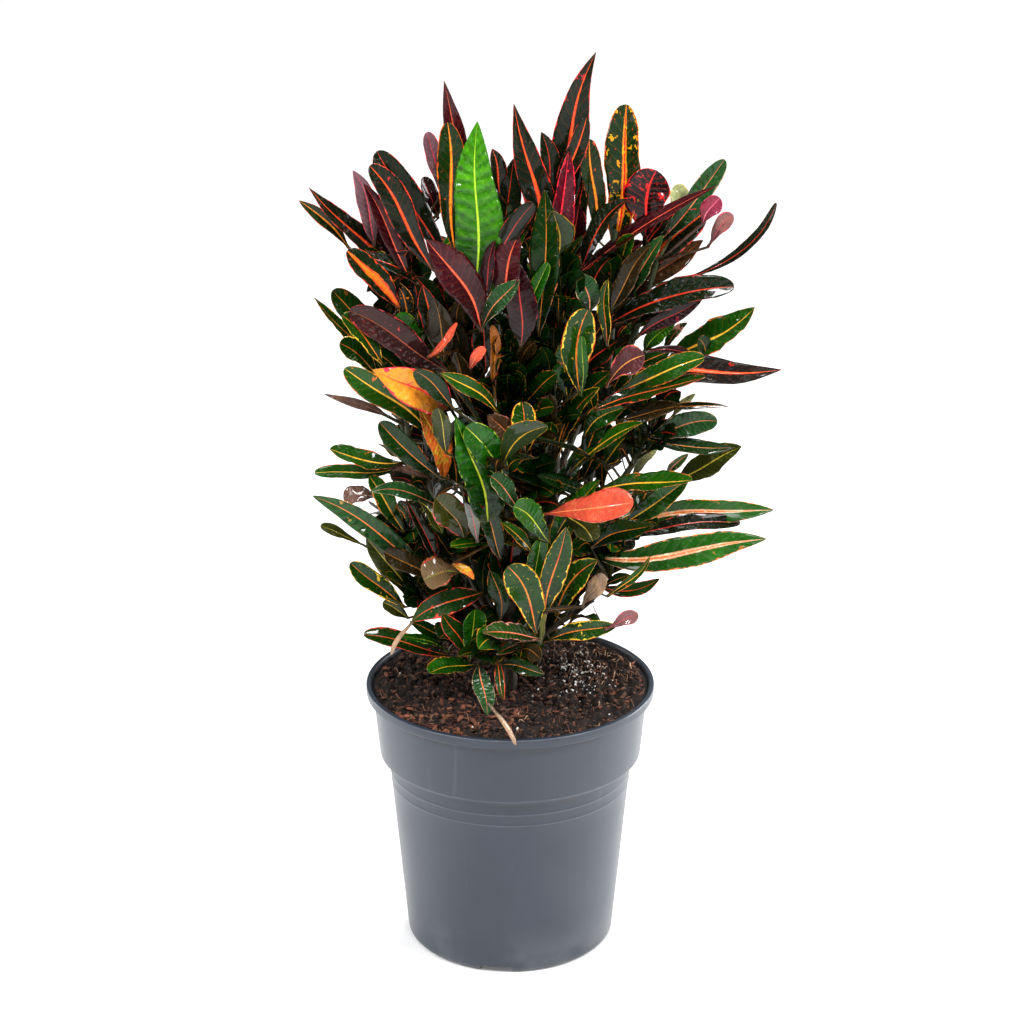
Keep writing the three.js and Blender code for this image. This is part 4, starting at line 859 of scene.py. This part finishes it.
def mesh_piece(name, points, quads, triangles):
    """Object of a smooth-shaded mesh, its points given in millimetres and its faces as index arrays."""
    mesh = bpy.data.meshes.new(name)
    mesh.vertices.add(len(points))
    mesh.vertices.foreach_set("co", (points * MM).astype(np.float32).ravel())
    corners = np.concatenate([quads.ravel(), triangles.ravel()])
    sizes = np.concatenate([np.full(len(quads), 4), np.full(len(triangles), 3)])
    mesh.loops.add(len(corners))
    mesh.loops.foreach_set("vertex_index", corners)
    mesh.polygons.add(len(sizes))
    mesh.polygons.foreach_set("loop_start", np.concatenate([[0], np.cumsum(sizes)[:-1]]))
    mesh.polygons.foreach_set("loop_total", sizes)
    mesh.polygons.foreach_set("use_smooth", np.ones(len(sizes), bool))
    mesh.update(calc_edges=True)
    mesh.validate()
    return placed(name, mesh)


def round_the_axis(columns):
    """Even angles over a full turn, without its end."""
    return FULL_TURN * np.arange(columns) / columns


def branch_surface(thick, line, rows, columns, phase):
    """Round tube along a spline, its radius falling evenly, with a low swelling at each leaf joint."""
    share = np.linspace(0, 1, rows)
    centre = line.at(share)
    along = unit(line.at(np.minimum(1, share + 0.01)) - line.at(np.maximum(0, share - 0.01)))
    side = unit(np.cross(np.array([0, 1.0, 0]), along))
    over = np.cross(along, side)
    joints = 0.5 + 0.5 * np.sin(FULL_TURN * BRANCH_JOINTS * share + phase)
    radius = (thick[0] + (thick[1] - thick[0]) * share) * (0.93 + 0.12 * joints**4)
    angle = round_the_axis(columns)
    ring = side[:, None] * np.cos(angle)[:, None] + over[:, None] * np.sin(angle)[:, None]
    grid = centre[:, None] + ring * radius[:, None, None]
    points = np.vstack([centre[:1], grid.reshape(-1, 3), centre[-1:] + along[-1:] * thick[1]])
    return points, tube_faces(rows, columns)


def arc(centre, radius, start, end, steps):
    """Points of a circular arc from one angle to another, in degrees."""
    angle = np.radians(np.linspace(start, end, steps))
    return [(centre[0] + radius * math.cos(a), centre[1] + radius * math.sin(a)) for a in angle]


def wall_radius(height):
    """Radius of the pot's outer wall, straight from foot to step."""
    share = (height - BASE_ROUND) / (STEP_HEIGHT - BASE_ROUND)
    return BASE_RADIUS + (STEP_RADIUS - 1 - BASE_RADIUS) * share


def between_points(first, last, steps):
    """Evenly spaced points between two, without the ends."""
    first, last = np.array(first), np.array(last)
    return [tuple(first + (last - first) * share) for share in (np.arange(steps) + 1) / (steps + 1)]


def pot_outline():
    """Section of the pot, from the middle of its underside up the outside, over the lip and down inside."""
    foot = [(radius, 0.0) for radius in (20, 45, 64, BASE_RADIUS - NOTCH_DEPTH)]
    foot += between_points(foot[-1], (BASE_RADIUS - BASE_ROUND, 0), 2)
    foot += arc((BASE_RADIUS - BASE_ROUND, BASE_ROUND), BASE_ROUND, -90, 0, 9)
    rings = []
    for height in sorted(RING_HEIGHTS):
        offsets = np.linspace(-1, 1, 7)
        rise = RING_RISE * np.cos(offsets * np.pi / 2) ** 2
        rings += [(wall_radius(height + o * RING_HALF_WIDTH) + r, height + o * RING_HALF_WIDTH)
                  for o, r in zip(offsets, rise)]
    wall = between_points(foot[-1], rings[0], 10)
    step = [(STEP_RADIUS - 1, STEP_HEIGHT - 4), (STEP_RADIUS - 0.6, STEP_HEIGHT - 1.5)]
    step += [(STEP_RADIUS + 0.6, STEP_HEIGHT - 0.2), (STEP_RADIUS + 2.4, STEP_HEIGHT + 0.5)]
    step += [(COLLAR_FOOT_RADIUS - inward, COLLAR_FOOT_HEIGHT + upward)
             for inward, upward in ((3, -2.2), (0.9, -1.3), (0.2, -0.5), (0, 0.8))]
    collar_top = (COLLAR_TOP_RADIUS, POT_HEIGHT - LIP_DEPTH - 3)
    collar = between_points(step[-1], collar_top, 6) + [collar_top]
    collar += arc((COLLAR_TOP_RADIUS + 2, POT_HEIGHT - LIP_DEPTH - 2.4), 2, 180, 100, 5)
    lip = arc((LIP_RADIUS - 1.4, POT_HEIGHT - LIP_DEPTH + 1.0), 1.3, -80, 0, 4)
    lip += arc((LIP_RADIUS - 1.6, POT_HEIGHT - 1.6), 1.6, 0, 90, 5)
    lip += arc((LIP_INNER_RADIUS + 1.2, POT_HEIGHT - 1.2), 1.2, 90, 180, 5)
    inside = [(COLLAR_TOP_RADIUS - WALL, POT_HEIGHT - LIP_DEPTH - 2)]
    inside += [(COLLAR_FOOT_RADIUS - WALL, COLLAR_FOOT_HEIGHT + 3), (STEP_RADIUS - 1 - WALL, STEP_HEIGHT - 4)]
    inside += between_points(inside[-1], (wall_radius(20) - WALL, 20), 3) + [(wall_radius(20) - WALL, 20)]
    inside += [(BASE_RADIUS - BASE_ROUND, FLOOR), (60, FLOOR), (30, FLOOR)]
    return np.array(foot + wall + rings + step + collar + lip + inside)


def pot_shell():
    """The pot's section turned about its axis, its foot lifted over each drain notch.

    The lift is the notch's height inside its width, and falls to nothing within one step of angle.
    """
    section = pot_outline()
    angle = round_the_axis(POT_COLUMNS)
    radius, height = (section[:, k][:, None] * np.ones(POT_COLUMNS) for k in (0, 1))
    apart = FULL_TURN / NOTCH_COUNT
    from_notch = np.abs((angle - NOTCH_TURN + apart / 2) % apart - apart / 2)
    in_notch = np.clip((NOTCH_WIDTH / 2 / BASE_RADIUS - from_notch) / NOTCH_SLOPE + 0.5, 0, 1)
    outer = (np.arange(len(section)) < len(section) - 8)[:, None]
    low = outer & (radius > BASE_RADIUS - NOTCH_DEPTH - 1) & (height < NOTCH_HEIGHT)
    height = np.where(low, height + (NOTCH_HEIGHT - height) * in_notch, height)
    inner = ~outer & (radius > 65) & (height < 10)
    height = np.where(inner, height + NOTCH_HEIGHT * in_notch, height)
    grid = np.stack([radius * np.cos(angle), radius * np.sin(angle), height], -1)
    points = np.vstack([[[0, 0, 0]], grid.reshape(-1, 3), [[0, 0, FLOOR]]])
    return mesh_piece("pot_shell", points, *tube_faces(len(section), POT_COLUMNS))


def soil_top(x, y):
    """Height of the soil: low heaps from two pairs of crossing waves."""
    heaps = np.sin(x * 0.071 + 1.3) * np.cos(y * 0.063 - 0.4)
    lumps = np.sin(x * 0.19 - y * 0.13) * np.cos(y * 0.21 + x * 0.05 + 0.8)
    return SOIL_HEIGHT + 1.6 * heaps + 1.2 * lumps


def crumble(x, y):
    """Roughness of loose soil: plane waves in random directions, each higher the longer it is."""
    random = np.random.default_rng(CRUMBLE_SEED)
    total = np.zeros_like(x)
    for _ in range(CRUMBLE_WAVES):
        turn, phase = random.uniform(0, FULL_TURN), random.uniform(0, FULL_TURN)
        length = random.uniform(2.2, 13)
        across_waves = x * math.cos(turn) + y * math.sin(turn)
        total += 0.055 * length * np.sin(across_waves * FULL_TURN / length + phase)
    return total


def soil_height(x, y):
    """Soil with its crumbs: the rough part dies away over the last millimetres before the pot's wall."""
    inward = np.clip((SOIL_RADIUS - np.hypot(x, y)) / 7, 0, 1)
    rise = (soil_top(x, y) - SOIL_HEIGHT + crumble(x, y)) * inward
    return np.minimum(SOIL_HEIGHT + rise, SOIL_HEIGHT + 5)


def potting_mix():
    """Rings of points from the foot up beside the pot's wall, then in to the middle: a closed plug."""
    angle = round_the_axis(SOIL_COLUMNS)
    sides = np.array([(70, SOIL_FOOT), (wall_radius(20) - WALL - 2, SOIL_FOOT),
                      (wall_radius(60) - WALL - 1, 60), (COLLAR_FOOT_RADIUS - WALL - 8, STEP_HEIGHT),
                      (106, 170), (110.4, 205), (111.8, 217)])
    radii = np.concatenate([sides[:, 0], np.linspace(SOIL_RADIUS, 3, SOIL_RINGS)])
    radius = radii[:, None] * np.ones(SOIL_COLUMNS)
    x, y = radius * np.cos(angle), radius * np.sin(angle)
    height = soil_height(x, y)
    height[:len(sides)] = sides[:, 1][:, None]
    middle = soil_height(np.zeros(1), np.zeros(1))[0]
    points = np.vstack([[[0, 0, SOIL_FOOT]], np.stack([x, y, height], -1).reshape(-1, 3), [[0, 0, middle]]])
    return mesh_piece("potting_mix", points, *tube_faces(len(radii), SOIL_COLUMNS))


def repeated(name, points, faces):
    """One mesh of many copies of a small form: the points of each copy, and the faces of one."""
    start = (np.arange(len(points)) * points.shape[1])[:, None, None]
    quads, triangles = ((corners[None] + start).reshape(-1, corners.shape[1]) for corners in faces)
    return mesh_piece(name, points.reshape(-1, 3), quads, triangles)


def lump_unit():
    """A ball of few faces: rings of a sphere with a pole at each end."""
    tall = np.linspace(-0.5 * np.pi, 0.5 * np.pi, LUMP_ROWS + 2)[1:-1, None]
    angle = round_the_axis(LUMP_COLUMNS)
    grid = np.stack([np.cos(tall) * np.cos(angle), np.cos(tall) * np.sin(angle),
                     np.sin(tall) * np.ones(LUMP_COLUMNS)], -1)
    return np.vstack([[[0, 0, -1]], grid.reshape(-1, 3), [[0, 0, 1]]]), tube_faces(LUMP_ROWS, LUMP_COLUMNS)


def lumps(name, x, y, size, random, sink, flat=(1, 1, 1)):
    """Small uneven lumps on the soil: a ball scaled unevenly, its corners moved, then turned and tipped."""
    ball, faces = lump_unit()
    count = len(x)
    shape = ball[None] * random.uniform(0.5, 1.2, (count, 1, 3)) * flat
    a, b, c = np.moveaxis(shape * random.uniform(0.6, 1.4, (count, len(ball), 1)), -1, 0)
    turn = random.uniform(0, FULL_TURN, count)[:, None]
    lean = random.uniform(-0.7, 0.7, count)[:, None]
    a, b = a * np.cos(turn) - b * np.sin(turn), a * np.sin(turn) + b * np.cos(turn)
    b, c = b * np.cos(lean) - c * np.sin(lean), b * np.sin(lean) + c * np.cos(lean)
    centre = np.stack([x, y, soil_height(x, y) + size * sink], -1)
    return repeated(name, centre[:, None] + np.stack([a, b, c], -1) * size[:, None, None], faces)


def scattered(count, random):
    """Random places over the soil's disc, even by area."""
    radius = (SOIL_RADIUS - 3) * np.sqrt(random.uniform(0, 1, count))
    angle = random.uniform(0, FULL_TURN, count)
    return radius * np.cos(angle), radius * np.sin(angle)


def strewn(loose, heaped, middle, spread, margin, random):
    """Random places of litter: loose over the soil, then heaped, all at least a margin from the wall."""
    x, y = (np.concatenate([place, random.normal(centre, reach, heaped)])
            for place, centre, reach in zip(scattered(loose, random), middle, spread))
    inside = np.minimum(1, (SOIL_RADIUS - margin) / np.maximum(np.hypot(x, y), 1))
    return x * inside, y * inside


def fibres(name, x, y, length, thick, random):
    """Thin bent fibres lying on the soil: each a narrow tube along a shallow arc that follows the ground."""
    share = np.linspace(-0.5, 0.5, FIBRE_ROWS)
    heading = random.uniform(0, FULL_TURN, len(x))[:, None]
    bend = random.uniform(-0.9, 0.9, len(x))[:, None]
    run = share * length[:, None]
    bow = bend * length[:, None] * (0.25 - share**2)
    px = x[:, None] + run * np.cos(heading) - bow * np.sin(heading)
    py = y[:, None] + run * np.sin(heading) + bow * np.cos(heading)
    inside = np.minimum(1, (SOIL_RADIUS - 2) / np.maximum(np.hypot(px, py), 1))
    px, py = px * inside, py * inside
    raised = random.uniform(0.1, 1.6, len(x))[:, None] + thick[:, None]
    pz = soil_height(px, py) + raised * (1 - 1.2 * np.abs(share))
    centre = np.stack([px, py, pz], -1)
    along = unit(np.gradient(centre, axis=1))
    side = unit(np.cross(along, UP))
    over = np.cross(side, along)
    angle = round_the_axis(FIBRE_COLUMNS)
    radius = thick[:, None] * (1 - 1.5 * share**2)
    ring = side[:, :, None] * np.cos(angle)[:, None] + over[:, :, None] * np.sin(angle)[:, None]
    grid = centre[:, :, None] + ring * radius[..., None, None]
    points = np.concatenate([centre[:, :1], grid.reshape(len(x), -1, 3), centre[:, -1:]], 1)
    return repeated(name, points, [corners[:, ::-1] for corners in tube_faces(FIBRE_ROWS, FIBRE_COLUMNS)])


class Signal:
    """One socket of a finish, with arithmetic that adds Math nodes."""

    def __init__(self, finish, socket):
        self.finish = finish
        self.socket = socket

    def _math(self, operation, *others):
        node = self.finish.tree.nodes.new("ShaderNodeMath")
        node.operation = operation
        for slot, value in zip(node.inputs, others):
            self.finish.feed(slot, value)
        return Signal(self.finish, node.outputs[0])

    def __add__(self, other):
        return self._math("ADD", self, other)

    def __sub__(self, other):
        return self._math("SUBTRACT", self, other)

    def __rsub__(self, other):
        return self._math("SUBTRACT", other, self)

    def __mul__(self, other):
        return self._math("MULTIPLY", self, other)

    __radd__ = __add__
    __rmul__ = __mul__

    def sine(self):
        return self._math("SINE", self)

    def absolute(self):
        return self._math("ABSOLUTE", self)

    def step(self, low, high):
        """0 below low, 1 above high, with a smooth ramp between them."""
        smooth = dict(interpolation_type="SMOOTHSTEP")
        ramp = self.finish.node("ShaderNodeMapRange", smooth, Value=self, From_Min=low, From_Max=high)
        return ramp["Result"]


class Finish:
    """A procedural material: its Principled shader, and helpers that add nodes."""

    def __init__(self, name, colour, roughness, **uniform):
        self.material = bpy.data.materials.new(name)
        self.material.use_nodes = True
        self.tree = self.material.node_tree
        self.shader = self.tree.nodes["Principled BSDF"]
        self.shader.inputs["Base Color"].default_value = (*linear(colour), 1)
        self.shader.inputs["Roughness"].default_value = roughness
        for key, value in uniform.items():
            self.shader.inputs[key.replace("_", " ")].default_value = value

    def feed(self, socket, value):
        """Puts a number, a colour or a signal into a socket."""
        if isinstance(value, Signal):
            self.tree.links.new(value.socket, socket)
        elif isinstance(value, (int, float)):
            socket.default_value = value
        else:
            value = tuple(value)
            socket.default_value = (*value, 1) if len(value) == 3 and socket.type == "RGBA" else value

    def node(self, kind, settings=None, **values):
        """Adds a node, with its settings first and then its sockets, and gives its outputs by name."""
        node = self.tree.nodes.new(kind)
        for key, value in (settings or {}).items():
            setattr(node, key, value)
        for key, value in values.items():
            self.feed(node.inputs[key.replace("_", " ")], value)
        return {output.name: Signal(self, output) for output in node.outputs if output.enabled}

    def place(self):
        """Object coordinates, in metres."""
        return self.node("ShaderNodeTexCoord")["Object"]

    def noise(self, scale, detail, roughness, vector=None):
        """Soft noise between about 0.3 and 0.7, its scale in lumps for each metre."""
        values = dict(Vector=vector or self.place(), Scale=scale, Detail=detail, Roughness=roughness)
        return self.node("ShaderNodeTexNoise", **values)["Fac"]

    def mix(self, factor, first, second, blend="MIX"):
        """Two colours mixed by a factor."""
        node = self.tree.nodes.new("ShaderNodeMix")
        node.data_type = "RGBA"
        node.blend_type = blend
        self.feed(node.inputs[0], factor)
        self.feed(node.inputs[6], first)
        self.feed(node.inputs[7], second)
        return Signal(self, node.outputs[2])

    def times(self, colour, factors):
        """A colour times a factor for each of its channels."""
        return self.mix(1.0, colour, factors, "MULTIPLY")

    def colour(self, value):
        self.feed(self.shader.inputs["Base Color"], value)

    def roughness(self, value):
        self.feed(self.shader.inputs["Roughness"], value)

    def bump(self, height, distance, strength):
        """Relief of a height between 0 and 1, at a distance in metres."""
        normal = self.node("ShaderNodeBump", Height=height, Distance=distance, Strength=strength)["Normal"]
        self.feed(self.shader.inputs["Normal"], normal)


def croton_leaf(name, waxy):
    """Croton leaf: two-tone rib, faint side veins, broken two-tone margin, blotches, specks, and some wax,
    with painted shade in the puckers' hollows, a painted highlight on their ridges, and a base that is darker
    partly by painted shade.

    A leaf's own colours and amounts come from the attributes on its points. Distance from the rib is 0 on
    the rib and 1 at the margin. Each pattern is a mask that is 1 inside it.
    """
    f = Finish(name, (40, 80, 30), 0.22, Specular_IOR_Level=0.03 + 0.07 * waxy, Coat_Weight=0.42 * waxy,
               Coat_Roughness=0.06)
    fields = {key: f.node("ShaderNodeAttribute", dict(attribute_name=key)) for key in LEAF_FIELDS}
    parts = f.node("ShaderNodeSeparateColor", Color=fields["blade"]["Color"])
    along, top, stalk = parts["Red"], parts["Blue"], fields["blade"]["Alpha"]
    aside = (parts["Green"] * 2 - 1).absolute()
    ground, rib_colour, margin_colour, under_colour = (fields[key]["Color"] for key in LEAF_FIELDS[1:5])
    blotches, rib_width, edging, veins = (fields[key]["Alpha"] for key in LEAF_FIELDS[1:5])
    broad, patch, ripple = f.noise(60, 3, 0.6), f.noise(110, 3, 0.65), f.noise(170, 2, 0.5)
    fine, speckle, grit = f.noise(300, 3, 0.6), f.noise(420, 1, 0.5), f.noise(1100, 2, 0.6)

    vein_wave = (along * 84 - aside * 10.0 + broad * 7.0).sine()
    vein = vein_wave.step(0.8, 1.0) * (1 - aside.step(0.8, 1.0)) * (1 - stalk)
    rib_reach = rib_width * (1.25 - along * 0.95) * (0.2 + broad * 0.9 + fine * 0.7)
    rib = 1 - (aside - rib_reach).step(-0.012, 0.022)
    rim = rib * (aside - rib_reach * 0.55).step(-0.01, 0.02) * patch.step(0.36, 0.5)
    core = (1 - (aside - rib_reach * 0.4).step(-0.01, 0.02)) * rib_width.step(0.19, 0.21)
    core = core * (1 - rib_width.step(0.3, 0.4)) * fine.step(0.3, 0.45)
    edge_reach = edging * (0.05 + patch.step(0.42, 0.64) * 0.15)
    edge = (aside + edge_reach).step(0.985, 1.01) * (edging + patch * 1.6 - 0.75).step(0.3, 0.5)
    outer = (aside + edge_reach * 0.45).step(0.985, 1.01) * fine.step(0.36, 0.46)
    blotch = (patch + blotches * 0.32 + aside * 0.05).step(0.72, 0.76) * blotches.step(0.01, 0.1)
    specks = (speckle + blotches * 0.12).step(0.73, 0.76) * blotches.step(0.01, 0.2)
    relief = fields["dimple"]["Fac"]
    puckered = (relief - 0.5).absolute().step(0.0, 0.03)
    dimple = relief + (ripple - 0.5) * relief.step(0.5, 0.51) * 0.7
    # Painted shade: the hollows between the puckers are darkened in the colour
    painted_hollow_shade = (1 - (dimple + ripple * 0.5).step(0.5, 0.85)) * puckered
    # Painted highlight: the ridges of the puckers are lightened in the colour
    ridge = (dimple + ripple * 0.6).step(0.95, 1.25) * puckered

    shade = f.mix(broad.step(0.42, 0.72) * 0.75, ground, f.times(ground, (1.7, 1.5, 1.2)))
    shade = f.mix(fine.step(0.35, 0.7) * 0.4, shade, f.times(shade, (0.42, 0.5, 0.42)))
    # Painted shade in the puckers' hollows
    shade = f.mix(painted_hollow_shade * (0.1 + broad * 0.9), shade, f.times(shade, (0.16, 0.3, 0.16)))
    # Painted highlight on the puckers' ridges
    shade = f.mix(ridge * 0.55, shade, f.times(shade, (2.4, 1.6, 1.8)))
    shade = f.mix(specks * 0.8, shade, margin_colour)
    shade = f.mix(blotch, shade, f.mix(patch.step(0.55, 0.75), rib_colour, margin_colour))
    shade = f.mix(vein * veins, shade, rib_colour)
    # Darker towards the base: partly the leaf's own colour, partly painted shade from the leaves above;
    # puckered leaves get more of it
    shade = f.mix((1 - along.step(0.0, 0.75)) * 0.85, shade, f.times(shade, (0.2, 0.22, 0.2)))
    low = puckered * (1 - along.step(0.1, 0.5))
    shade = f.mix(low * 0.85, shade, f.times(shade, (0.2, 0.3, 0.25)))
    shade = f.mix(edge, shade, f.mix(outer, margin_colour, rib_colour))
    shade = f.mix(rib, shade, f.mix(rim * 0.8, rib_colour, margin_colour))
    shade = f.mix(core, shade, margin_colour)
    beneath = f.mix(rib * 0.75, under_colour, rib_colour)
    f.colour(f.mix(stalk * 0.8, f.mix(top, beneath, shade), linear((46, 46, 22))))
    f.roughness(0.2 + fine * 0.14 + (1 - top) * 0.3)
    dents = ripple * (0.15 + broad.step(0.45, 0.62) * 0.6)
    height = vein_wave * (0.05 + veins * 0.12) + dents + fine * 0.2 + broad * 0.9 + grit * 0.04
    f.bump(height, 0.0028, 0.75)
    return f.material


def croton_bark():
    """Grey-brown young wood, greener towards the top, with pale leaf scars and fine cracks."""
    f = Finish("croton_bark", (96, 84, 66), 0.75)
    place = f.place()
    height = f.node("ShaderNodeSeparateXYZ", Vector=place)["Z"]
    stretched = f.node("ShaderNodeMapping", Vector=place, Scale=(1.0, 1.0, 0.22))["Vector"]
    cracks = f.noise(900, 4, 0.7, stretched)
    patches = f.noise(90, 3, 0.6)
    wood = f.mix(cracks.step(0.35, 0.65), linear((34, 28, 21)), linear((78, 68, 52)))
    young = f.mix(cracks.step(0.4, 0.6), linear((28, 40, 16)), linear((56, 66, 30)))
    body = f.mix((height + patches * 0.14).step(0.42, 0.62), wood, young)
    scars = f.node("ShaderNodeTexVoronoi", Vector=stretched, Scale=130.0)["Distance"]
    f.colour(f.mix((1 - scars.step(0.0, 0.16)) * 0.6, body, linear((112, 102, 80))))
    f.roughness(0.62 + cracks * 0.3)
    f.bump(cracks, 0.0012, 0.9)
    return f.material


def pot_plastic():
    """Satin blue-grey plastic: fine grain, faint scuffs, dust near the foot, and painted highlight lines that
    make it paler at its edges.
    """
    f = Finish("pot_plastic", (70, 76, 85), 0.42, Specular_IOR_Level=0.45,
               Coat_Weight=0.45, Coat_Roughness=0.24)
    place = f.place()
    height = f.node("ShaderNodeSeparateXYZ", Vector=place)["Z"]
    cloud = f.noise(14, 3, 0.55)
    grain = f.noise(1500, 2, 0.6)
    streaks = f.noise(70, 3, 0.6, f.node("ShaderNodeMapping", Vector=place, Scale=(1.0, 1.0, 0.12))["Vector"])
    body = f.mix(cloud.step(0.3, 0.7), linear((37, 46, 59)), linear((43, 52, 65)))
    scuffed = f.mix(streaks.step(0.62, 0.78) * 0.25, body, linear((88, 95, 105)))
    dust = (1 - height.step(0.0, 0.05)) * cloud.step(0.45, 0.6)
    dusty = f.mix(dust * 0.25, scuffed, linear((122, 122, 120)))
    # Painted highlight: thin paler lines, broken by the streaks, along the rings, the collar's foot and the
    # lip, where their edges catch the light
    off_highlight_lines = 1.0
    for level in (*RING_HEIGHTS, COLLAR_FOOT_HEIGHT, POT_HEIGHT - 1):
        off_highlight_lines = off_highlight_lines * (height - level * MM).absolute().step(0.0002, 0.0009)
    f.colour(f.mix((1 - off_highlight_lines) * (0.03 + streaks * 0.25), dusty, linear((128, 133, 142))))
    f.roughness(0.38 + cloud * 0.12 + grain * 0.08)
    f.bump(grain * 0.6 + streaks * 0.4, 0.0003, 0.5)
    return f.material


def moist_soil():
    """Dark moist peat with paler crumbs."""
    f = Finish("moist_soil", (45, 33, 28), 0.9)
    coarse, fine = f.noise(160, 4, 0.7), f.noise(700, 3, 0.7)
    dark = f.mix(coarse.step(0.36, 0.64), linear((8, 6, 5)), linear((46, 31, 25)))
    f.colour(f.mix(fine.step(0.58, 0.7) * 0.5, dark, linear((84, 54, 42))))
    f.roughness(0.78 + fine * 0.2)
    f.bump(fine * 0.6 + coarse * 0.6, 0.0022, 1.0)
    return f.material


def plain_finish(name, dark, light, roughness, scale, relief):
    """Matt crumb or fibre whose colour runs between two shades from place to place."""
    f = Finish(name, dark, roughness)
    shade, fine = f.noise(scale, 2, 0.6), f.noise(1300, 2, 0.6)
    f.colour(f.mix(shade.step(0.38, 0.62), linear(dark), linear(light)))
    f.roughness(roughness - 0.1 + fine * 0.2)
    f.bump(fine, relief, 0.7)
    return f.material


def dress(piece, material, slot, *nodes):
    """Gives a piece its finish, its body and the nodes that it stands for; the slot is not used."""
    piece.data.materials.append(material)
    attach(piece, "root")
    if nodes:
        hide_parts(*nodes)


def plants():
    """Stems and leaves of every plant, each plant's as three pieces."""
    leaf_finishes = croton_leaf("croton_leaf", 1.0), croton_leaf("croton_inner_leaf", 0.1)
    bark_finish = croton_bark()
    for plant in PLANTS:
        sector = Sector(plant)
        lines = [Spline([sector.place(*point) for point in path]) for _, path in plant["branches"]]
        wood = [branch_surface(thick, line, *(BRANCH_GRID if i else STEM_GRID), i)
                for i, ((thick, _), line) in enumerate(zip(plant["branches"], lines))]
        stems = joined_tubes(plant["name"] + "_stems", wood)
        dress(stems, bark_finish, "foliage", plant["name"])
        kinds = zip(("_leaves", "_inner_leaves"), leaf_finishes, leaves_of(plant, sector, lines))
        for kind, leaf_finish, leaves in kinds:
            dress(foliage_mesh(plant["name"] + kind, sector, leaves), leaf_finish, "foliage", plant["name"])


def litter(piece, *finish):
    """Dresses a piece of the soil's litter with a plain finish."""
    dress(piece, plain_finish(*finish), "potting_soil")


def soil_pieces():
    """Potting mix with its crumbs, bark chips, fibres and perlite."""
    dress(potting_mix(), moist_soil(), "potting_soil", "soil")
    random = np.random.default_rng(LITTER_SEED)
    x, y = scattered(4200, random)
    size = 0.5 + 2.3 * random.uniform(0, 1, len(x)) ** 2.4
    litter(lumps("soil_crumbs", x, y, size, random, 0.25, (1.35, 0.85, 0.6)),
           "peat_crumb", (9, 6, 5), (108, 74, 58), 0.9, 240, 0.0014)

    x, y = strewn(380, 460, (-44, -76), (30, 19), 4, random)
    size = 0.8 + 2.6 * random.uniform(0, 1, len(x)) ** 1.8
    litter(lumps("bark_chips", x, y, size, random, 0.5, (1.5, 0.6, 0.35)),
           "bark_chip", (58, 30, 22), (138, 84, 60), 0.85, 90, 0.0008)

    x, y = scattered(300, random)
    length, thick = random.uniform(4, 15, len(x)), random.uniform(0.15, 0.42, len(x))
    litter(fibres("bark_fibres", x, y, length, thick, random),
           "bark_fibre", (62, 34, 25), (156, 104, 78), 0.8, 60, 0.0003)

    x, y = strewn(40, 90, (66, 48), (24, 26), 8, random)
    length, thick = random.uniform(2.5, 11, len(x)), random.uniform(0.2, 0.6, len(x))
    litter(fibres("pale_fibres", x, y, length, thick, random),
           "pale_fibre", (140, 96, 68), (222, 186, 150), 0.8, 60, 0.0003)

    loose, heaped = 40, 520
    x, y = (np.roll(place, heaped) for place in strewn(loose, heaped, (56, 18), (14, 22), 5, random))
    size = random.uniform(0.3, 1.0, len(x)) ** 1.8 * 1.4
    litter(lumps("perlite_grains", x, y, size, random, 0.6),
           "perlite", (250, 244, 232), (255, 254, 250), 0.8, 400, 0.0004)


def stage_and_light():
    """Pale floor, light from both sides, the front, above and behind, and the camera at the eye."""
    half = 40.0
    corners = [(-half, -half, 0), (half, -half, 0), (half, half, 0), (-half, half, 0)]
    mesh = bpy.data.meshes.new("floor")
    mesh.from_pydata(corners, [], [(0, 1, 2, 3)])
    glow = dict(Emission_Color=(1, 1, 1, 1), Emission_Strength=0.12)
    mesh.materials.append(Finish("pale_floor", (247, 247, 247), 0.95, **glow).material)
    floor = placed("floor", mesh)

    # Far lights: height and turn in degrees, how wide they look in degrees, and strength
    daylight = [
        ("left_light", 42, -68, 5, 1.0),
        ("right_light", 42, 68, 5, 1.15),
        ("back_light", 58, 172, 8, 0.8),
        ("front_light", 46, -6, 12, 0.5),
    ]
    for name, high, turn, spread, strength in daylight:
        lamp = bpy.data.lights.new(name, "SUN")
        lamp.energy, lamp.angle = strength, math.radians(spread)
        placed(name, lamp).rotation_euler = (math.radians(90 - high), 0, math.radians(turn))

    # Near lights: place and side in metres, and power; each faces the middle of the plant
    softboxes = [
        ("left_box", (-1.2, -1.3, 1.9), 0.3, 17),
        ("right_box", (1.2, -1.1, 1.9), 0.3, 17),
        ("top_box", (0.1, 0.7, 2.0), 0.3, 14),
        ("front_box", (0.3, -1.5, 2.5), 0.3, 15),
        ("left_strip", (-1.4, 0.6, 0.5), 0.7, 8),
        ("right_strip", (1.4, 0.6, 0.5), 0.7, 19),
    ]
    for name, place, size, power in softboxes:
        lamp = bpy.data.lights.new(name, "AREA")
        lamp.energy, lamp.size = power, size
        light = placed(name, lamp)
        light.location = place
        x, y, z = np.array([0, 0, 0.5]) - np.array(place)
        light.rotation_euler = (math.atan2(math.hypot(x, y), -z), 0, math.atan2(-x, y))

    world = bpy.data.worlds.new("studio")
    world.use_nodes = True
    background = world.node_tree.nodes["Background"].inputs
    background["Color"].default_value = (1, 1, 1, 1)
    background["Strength"].default_value = 0.12
    bpy.context.scene.world = world
    bpy.context.scene.view_settings.view_transform = "Standard"

    lens = bpy.data.cameras.new("camera")
    lens.lens = lens.sensor_width * FOCAL_PIXELS / PHOTO_PIXELS
    camera = placed("camera", lens)
    camera.location = EYE * MM
    camera.rotation_euler = (math.pi / 2 - EYE_TILT, 0, 0)
    bpy.context.scene.camera = camera


stage_and_light()
dress(pot_shell(), pot_plastic(), "pot_plastic", "pot")
soil_pieces()
plants()
